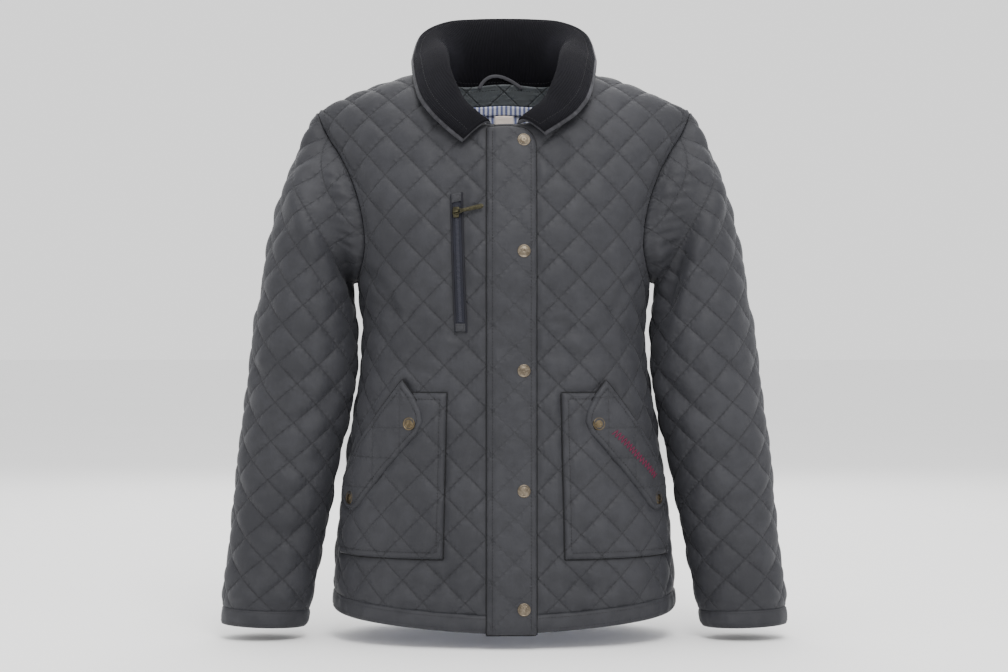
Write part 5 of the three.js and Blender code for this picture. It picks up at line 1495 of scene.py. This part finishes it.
def hang_loop():
    """A ribbon that stands up from the facing in an arch and lies against the collar's cloth."""
    q = LOOP
    start = BACK_NECK_Z - q["sunk"]
    edge = back.up_to(BACK_NECK_Z)

    def behind(x, z):
        v = edge - 12 * (1 - np.linspace(0, 1, 5)) - 3
        facing = back.lay(np.full(5, x), v, np.full(5, -THIN - 1.2))
        v = np.linspace(0, 28, 9)
        cord = collar.lay(np.full(9, x), v, np.full(9, COLLAR_WALL + 0.8))
        wall = np.vstack([facing, cord])
        return np.interp(z, wall[:, 2], wall[:, 1])

    t = np.linspace(0, 1, 49)[:, None]
    a, c = np.array([q["left"], start]), np.array([q["right"], start])
    b = np.array([2 * q["peak"] - (q["left"] + q["right"]) / 2, start + 2 * q["rise"]])
    line = a * (1 - t) ** 2 + 2 * b * t * (1 - t) + c * t * t
    ahead = unit(np.gradient(line, axis=0))
    side = np.stack([-ahead[:, 1], ahead[:, 0]], 1)
    section = ((-1, 0.3), (-0.8, 0), (0.8, 0), (1, 0.3), (1, 0.7), (0.8, 1), (0, 0.85), (-0.8, 1), (-1, 0.7))
    rows = []
    for out, deep in section:
        flat = line + side * out * q["width"] / 2
        y = [behind(x, z) - q["clear"] * 0.6 - deep * q["thick"] for x, z in flat]
        rows.append(np.stack([flat[:, 0], y, flat[:, 1]], 1))
    points, faces = tube(np.array(rows).transpose(1, 0, 2))
    dress(make("hang_loop_ribbon", points, faces), RIBBON, slot="quilted_shell", replaces=["hang_loop"])


def placed(points, s, v, height, turn=0.0):
    """Points of something small set on a front at (s, v): its X across, its Z off the cloth."""
    s, v = float(s), float(v)
    out = front.normal(np.array([s]), np.array([v]))[0]
    up = unit(front.point(s, v + 2) - front.point(s, v - 2))
    across = unit(np.cross(up, out))
    up = np.cross(out, across)
    c, d = math.cos(turn), math.sin(turn)
    x, y = points[:, 0] * c - points[:, 1] * d, points[:, 0] * d + points[:, 1] * c
    return front.point(s, v) + out * height + x[:, None] * across + y[:, None] * up + points[:, 2:3] * out


def lathe(profile, sides):
    """A turned solid: its profile of (radius, height) starts and ends on the axis."""
    profile = np.array(profile, float)
    rings = profile[1:-1]
    angle = np.linspace(0, 2 * math.pi, sides, endpoint=False)
    points = [np.array([[0, 0, profile[0, 1]]])]
    for radius, height in rings:
        points.append(np.stack([radius * np.cos(angle), radius * np.sin(angle), 0 * angle + height], 1))
    points.append(np.array([[0, 0, profile[-1, 1]]]))
    points = np.vstack(points)
    at = lambda ring, k: 1 + ring * sides + k % sides
    faces = []
    for k in range(sides):
        faces.append((0, at(0, k + 1), at(0, k)))
        for ring in range(len(rings) - 1):
            faces.append((at(ring, k), at(ring, k + 1), at(ring + 1, k + 1), at(ring + 1, k)))
        faces.append((at(len(rings) - 1, k), at(len(rings) - 1, k + 1), len(points) - 1))
    return points, faces


def snap_caps():
    """The caps, each turned with a plain ring round a low button."""
    r, t = SNAP_RADIUS, SNAP_HEIGHT
    profile = [(0, 0), (r - 0.6, 0), (r - 0.1, 0.35), (r, 0.9), (r - 0.15, 1.5), (r - 0.6, 2.0),
               (r - 1.1, 2.05), (r - 1.5, 1.75), (r - 1.9, 1.5), (r - 2.3, 1.55), (r * 0.5, 2.15),
               (r * 0.3, t - 0.1), (1.2, t), (0.9, t - 0.25), (0, t - 0.3)]
    points, faces = lathe(profile, 40)
    places = [(f"placket_snap_{i + 1}", SNAP_S, front_v(z), ON_FRONT) for i, z in enumerate(SNAP_Z)]
    for side, sign in (("left", 1), ("right", -1)):
        places += [(f"flap_snap_{side}_{i + 1}", sign * s, v, ON_POCKET)
                   for i, (s, v) in enumerate(FLAP_SNAPS)]
    for name, s, v, lift in places:
        made = make(name + "_cap", placed(points, s, v, lift + WALL + SNAP_SEAT), faces)
        dress(made, FLAP_BRASS if lift == ON_POCKET else BRASS, slot="antique_brass", replaces=[name])


def plate(outlines, thick, bevel):
    """A flat plate with rounded edges, from closed outlines of which the later ones are holes."""
    curve = bpy.data.curves.new("plate", "CURVE")
    curve.dimensions, curve.fill_mode = "2D", "BOTH"
    curve.extrude, curve.offset = thick / 2 - bevel, -bevel
    curve.bevel_depth, curve.bevel_resolution = bevel, 2
    for outline in outlines:
        spline = curve.splines.new("POLY")
        spline.points.add(len(outline) - 1)
        spline.points.foreach_set("co", np.array([(x, y, 0, 1) for x, y in outline], np.float32).ravel())
        spline.use_cyclic_u = True
    source = bpy.data.objects.new("plate", curve)
    mesh = source.to_mesh()
    points = np.array([v.co for v in mesh.vertices])
    faces = [tuple(f.vertices) for f in mesh.polygons]
    source.to_mesh_clear()
    bpy.data.objects.remove(source)
    bpy.data.curves.remove(curve)
    _, first, same = np.unique(np.round(points, 4), axis=0, return_index=True, return_inverse=True)
    same = same.ravel()
    merged = (tuple(dict.fromkeys(int(same[i]) for i in face)) for face in faces)
    return points[first], [face for face in merged if len(face) > 2]


def joined(*solids):
    """Several solids as one."""
    points, faces, count = [], [], 0
    for some, sides in solids:
        points.append(some)
        faces += [tuple(i + count for i in side) for side in sides]
        count += len(some)
    return np.vstack(points), faces


def zip_middle(v, low, up):
    """The zip slants a little: where its middle is at v."""
    return ZIP_BOTTOM[0] + (ZIP_TOP[0] - ZIP_BOTTOM[0]) * (v - low) / (up - low)


def piping(name, away, radius=1.3):
    """The rolled edge of the shell along one side of the zip, in near-black cloth that paints the shadow
    beside the zip.
    """
    low, up = front_v(ZIP_BOTTOM[1]) - 1, front_v(ZIP_TOP[1])
    v = np.linspace(low, up, 70)
    s = zip_middle(v, low, up) + away
    normals = front.normal(s, v)
    lift = ON_FRONT + 0.4 * radius + 0.25 * np.sin(v * 0.9) * np.sin(v * 0.23)
    made = cable(name, front.point(s, v) + normals * lift[:, None], normals, radius, 10)
    dress(made, ZIP_EDGE_SHADE, slot="quilted_shell")


def coil(middle, low, up, pitch=1.25):
    """The teeth, from one side and the other by turns."""
    shape = [(-1.9, -0.36), (1.3, -0.36), (1.7, -0.2), (1.7, 0.2), (1.3, 0.36), (-1.9, 0.36)]
    tooth, sides = plate([shape], 1.1, 0.2)
    teeth = []
    for k in range(int((up - low - 2 * ZIP_TAB - 4) / pitch)):
        v = low + ZIP_TAB + 2 + k * pitch
        flipped = tooth * [1 if k % 2 else -1, 1, 1]
        faces = sides if k % 2 else [face[::-1] for face in sides]
        teeth.append((placed(flipped, middle(v), v, ON_FRONT + 1.35), faces))
    dress(make("zip_teeth", *joined(*teeth)), ZIP_TEETH, slot="zip_tape")


def slider():
    """The slider's body under the arch that holds the pull."""
    w, l = SLIDER_WIDTH / 2, SLIDER_LENGTH / 2
    wedge = [(-0.7, -1), (0.7, -1), (0.95, -0.3), (1, 0.3), (0.8, 1), (-0.8, 1), (-1, 0.3), (-0.95, -0.3)]
    body, body_faces = plate([[(x * w, y * l) for x, y in wedge]], SLIDER_HEIGHT, 0.5)
    turn = math.radians(-PULL["turn"])
    c, d = math.cos(turn), math.sin(turn)
    x, y, z = body.T
    body = np.stack([x * c - y * d, x * d + y * c, z + SLIDER_HEIGHT / 2], 1)
    top = PULL["axis"] + PULL["thick"] / 2 + BRIDGE_CLEAR + BRIDGE_THICK
    r, t = BRIDGE_REACH, BRIDGE_THICK
    outer = [(-r, 1.6), (r, 1.6), (r, top - 0.8), (r - 0.8, top), (0.8 - r, top), (-r, top - 0.8)]
    hole = [(t - r, 2.7), (r - t, 2.7), (r - t, top - t), (t - r, top - t)]
    arch, arch_faces = plate([outer, hole], BRIDGE_WIDTH, 0.3)
    arch = np.stack([arch[:, 0], -arch[:, 2], arch[:, 1]], 1)
    return joined((body, body_faces), (arch, arch_faces))


def pull():
    """The slider's pull: a slim plate with a rounded end and an eye."""
    w, rim, eye, end = PULL["width"] / 2, PULL["rim"], PULL["eye"], PULL["length"]
    side = [(-rim / 2, -w), (eye, -w), (eye + 3, -w * 0.7), (end - 3, -w)]
    tip = [(end - w + w * math.cos(a), w * math.sin(a)) for a in np.linspace(-math.pi / 2, math.pi / 2, 13)]
    outline = side + tip + [(x, -y) for x, y in side[::-1]]
    hole = [(rim / 2, rim - w), (eye, rim - w), (eye, w - rim), (rim / 2, w - rim)]
    solid, faces = plate([outline, hole], PULL["thick"], 0.3)
    solid[:, 2] += PULL["axis"]
    return solid, faces


def chest_zip():
    """The chest zip: its tape, rolled edges, teeth, end tabs, slider and pull."""
    corners, half = zip_frame(0), ZIP_WIDTH / 2
    low, up = corners[0, 1], corners[3, 1]
    middle = lambda v: zip_middle(v, low, up)
    tape = Piece(corners, front, 1.2)
    away = np.abs(tape.s - middle(tape.v))
    sewn_piece("zip_tape_cloth", tape, "zip_tape", ZIP_CLOTH, slot="zip_tape", held="laid",
               rests_on=["front_right"], lift=ON_FRONT, wall=0.7, relief=0.5 * soft((2.6 - away) / 1.2))
    piping("zip_edge_left", -half - 0.5)
    piping("zip_edge_right", half + 0.5)
    coil(middle, low, up)

    over = ON_FRONT + ZIP_TAPE + 0.5
    for name, start, stop in (("zip_tab_top", up - ZIP_TAB, up), ("zip_tab_bottom", low, low + ZIP_TAB)):
        left, right = middle(start) - half, middle(stop) - half
        outline = [(left, start), (left + ZIP_WIDTH, start), (right + ZIP_WIDTH, stop), (right, stop)]
        tab = Piece(np.array(outline), front, 1.2)
        relief = 0.4 * soft(tab.inset / 2) - stitch_groove(tab, TAB_STITCH, 0.3)
        made = sewn_piece(name + "_cloth", tab, name, PLAIN_SHELL, held="laid", rests_on=["zip_tape"],
                          lift=over, wall=THIN, relief=relief)
        sew(name + "_stitching", made, front, [drawn_in(outline, TAB_STITCH)])

    metal = {
        "zip_slider_body": (slider(), "garment", "zip_slider"),
        "zip_pull_plate": (pull(), "zip_pull", "zip_pull"),
    }
    for name, ((points, faces), body, solid) in metal.items():
        points = placed(points, SLIDER[0], front_v(SLIDER[1]), over, math.radians(PULL["turn"]))
        dress(make(name, points, faces), DARK_BRASS, slot="antique_brass", body=body, replaces=[solid])


# Camera, light and floor

def camera_and_studio():
    data = bpy.data.cameras.new("camera")
    data.sensor_width, data.lens = SENSOR, SENSOR * CAMERA_FAR / (PICTURE_WIDTH * MM_PER_PIXEL)
    data.clip_end = 60
    camera = bpy.data.objects.new("camera", data)
    camera.location = (0, -CAMERA_FAR / 1000, CAMERA_Z / 1000)
    camera.rotation_euler = (math.pi / 2, 0, 0)
    bpy.context.scene.collection.objects.link(camera)
    bpy.context.scene.camera = camera
    for name, (place, target, size, power) in LAMPS.items():
        lamp = bpy.data.lights.new(name, "AREA")
        lamp.size, lamp.energy, lamp.color = size, power, LAMP_COLOR
        light = bpy.data.objects.new(name, lamp)
        light.location = place
        aim = unit(np.array(target) - np.array(place))
        light.rotation_euler = (math.acos(-aim[2]), 0, math.atan2(-aim[0], aim[1]))
        bpy.context.scene.collection.objects.link(light)
    world = bpy.data.worlds.new("studio")
    world.use_nodes = True
    background = world.node_tree.nodes["Background"]
    background.inputs["Color"].default_value = (1, 1, 1, 1)
    background.inputs["Strength"].default_value = SURROUND
    bpy.context.scene.world = world
    low, far = cad_box[0][2] * 1000 - FLOOR_BELOW, FLOOR_REACH
    points = np.array([(-far, -far, low), (far, -far, low), (far, far, low), (-far, far, low)], float)
    floor = make("floor", points, [(0, 1, 2, 3)])
    f = Finish("pale_floor")
    tone = f.blend(f.speckle(1.5, 3.0), (0.90, 0.90, 0.90), (0.93, 0.93, 0.93))
    floor.data.materials.append(f.done(base_color=tone, roughness=0.8))


camera_and_studio()
body_panels()
hem_bands()
sleeves_and_cuffs()
placket_strip()
pockets_and_flaps()
collar_layers()
inside_neck()
hang_loop()
snap_caps()
chest_zip()
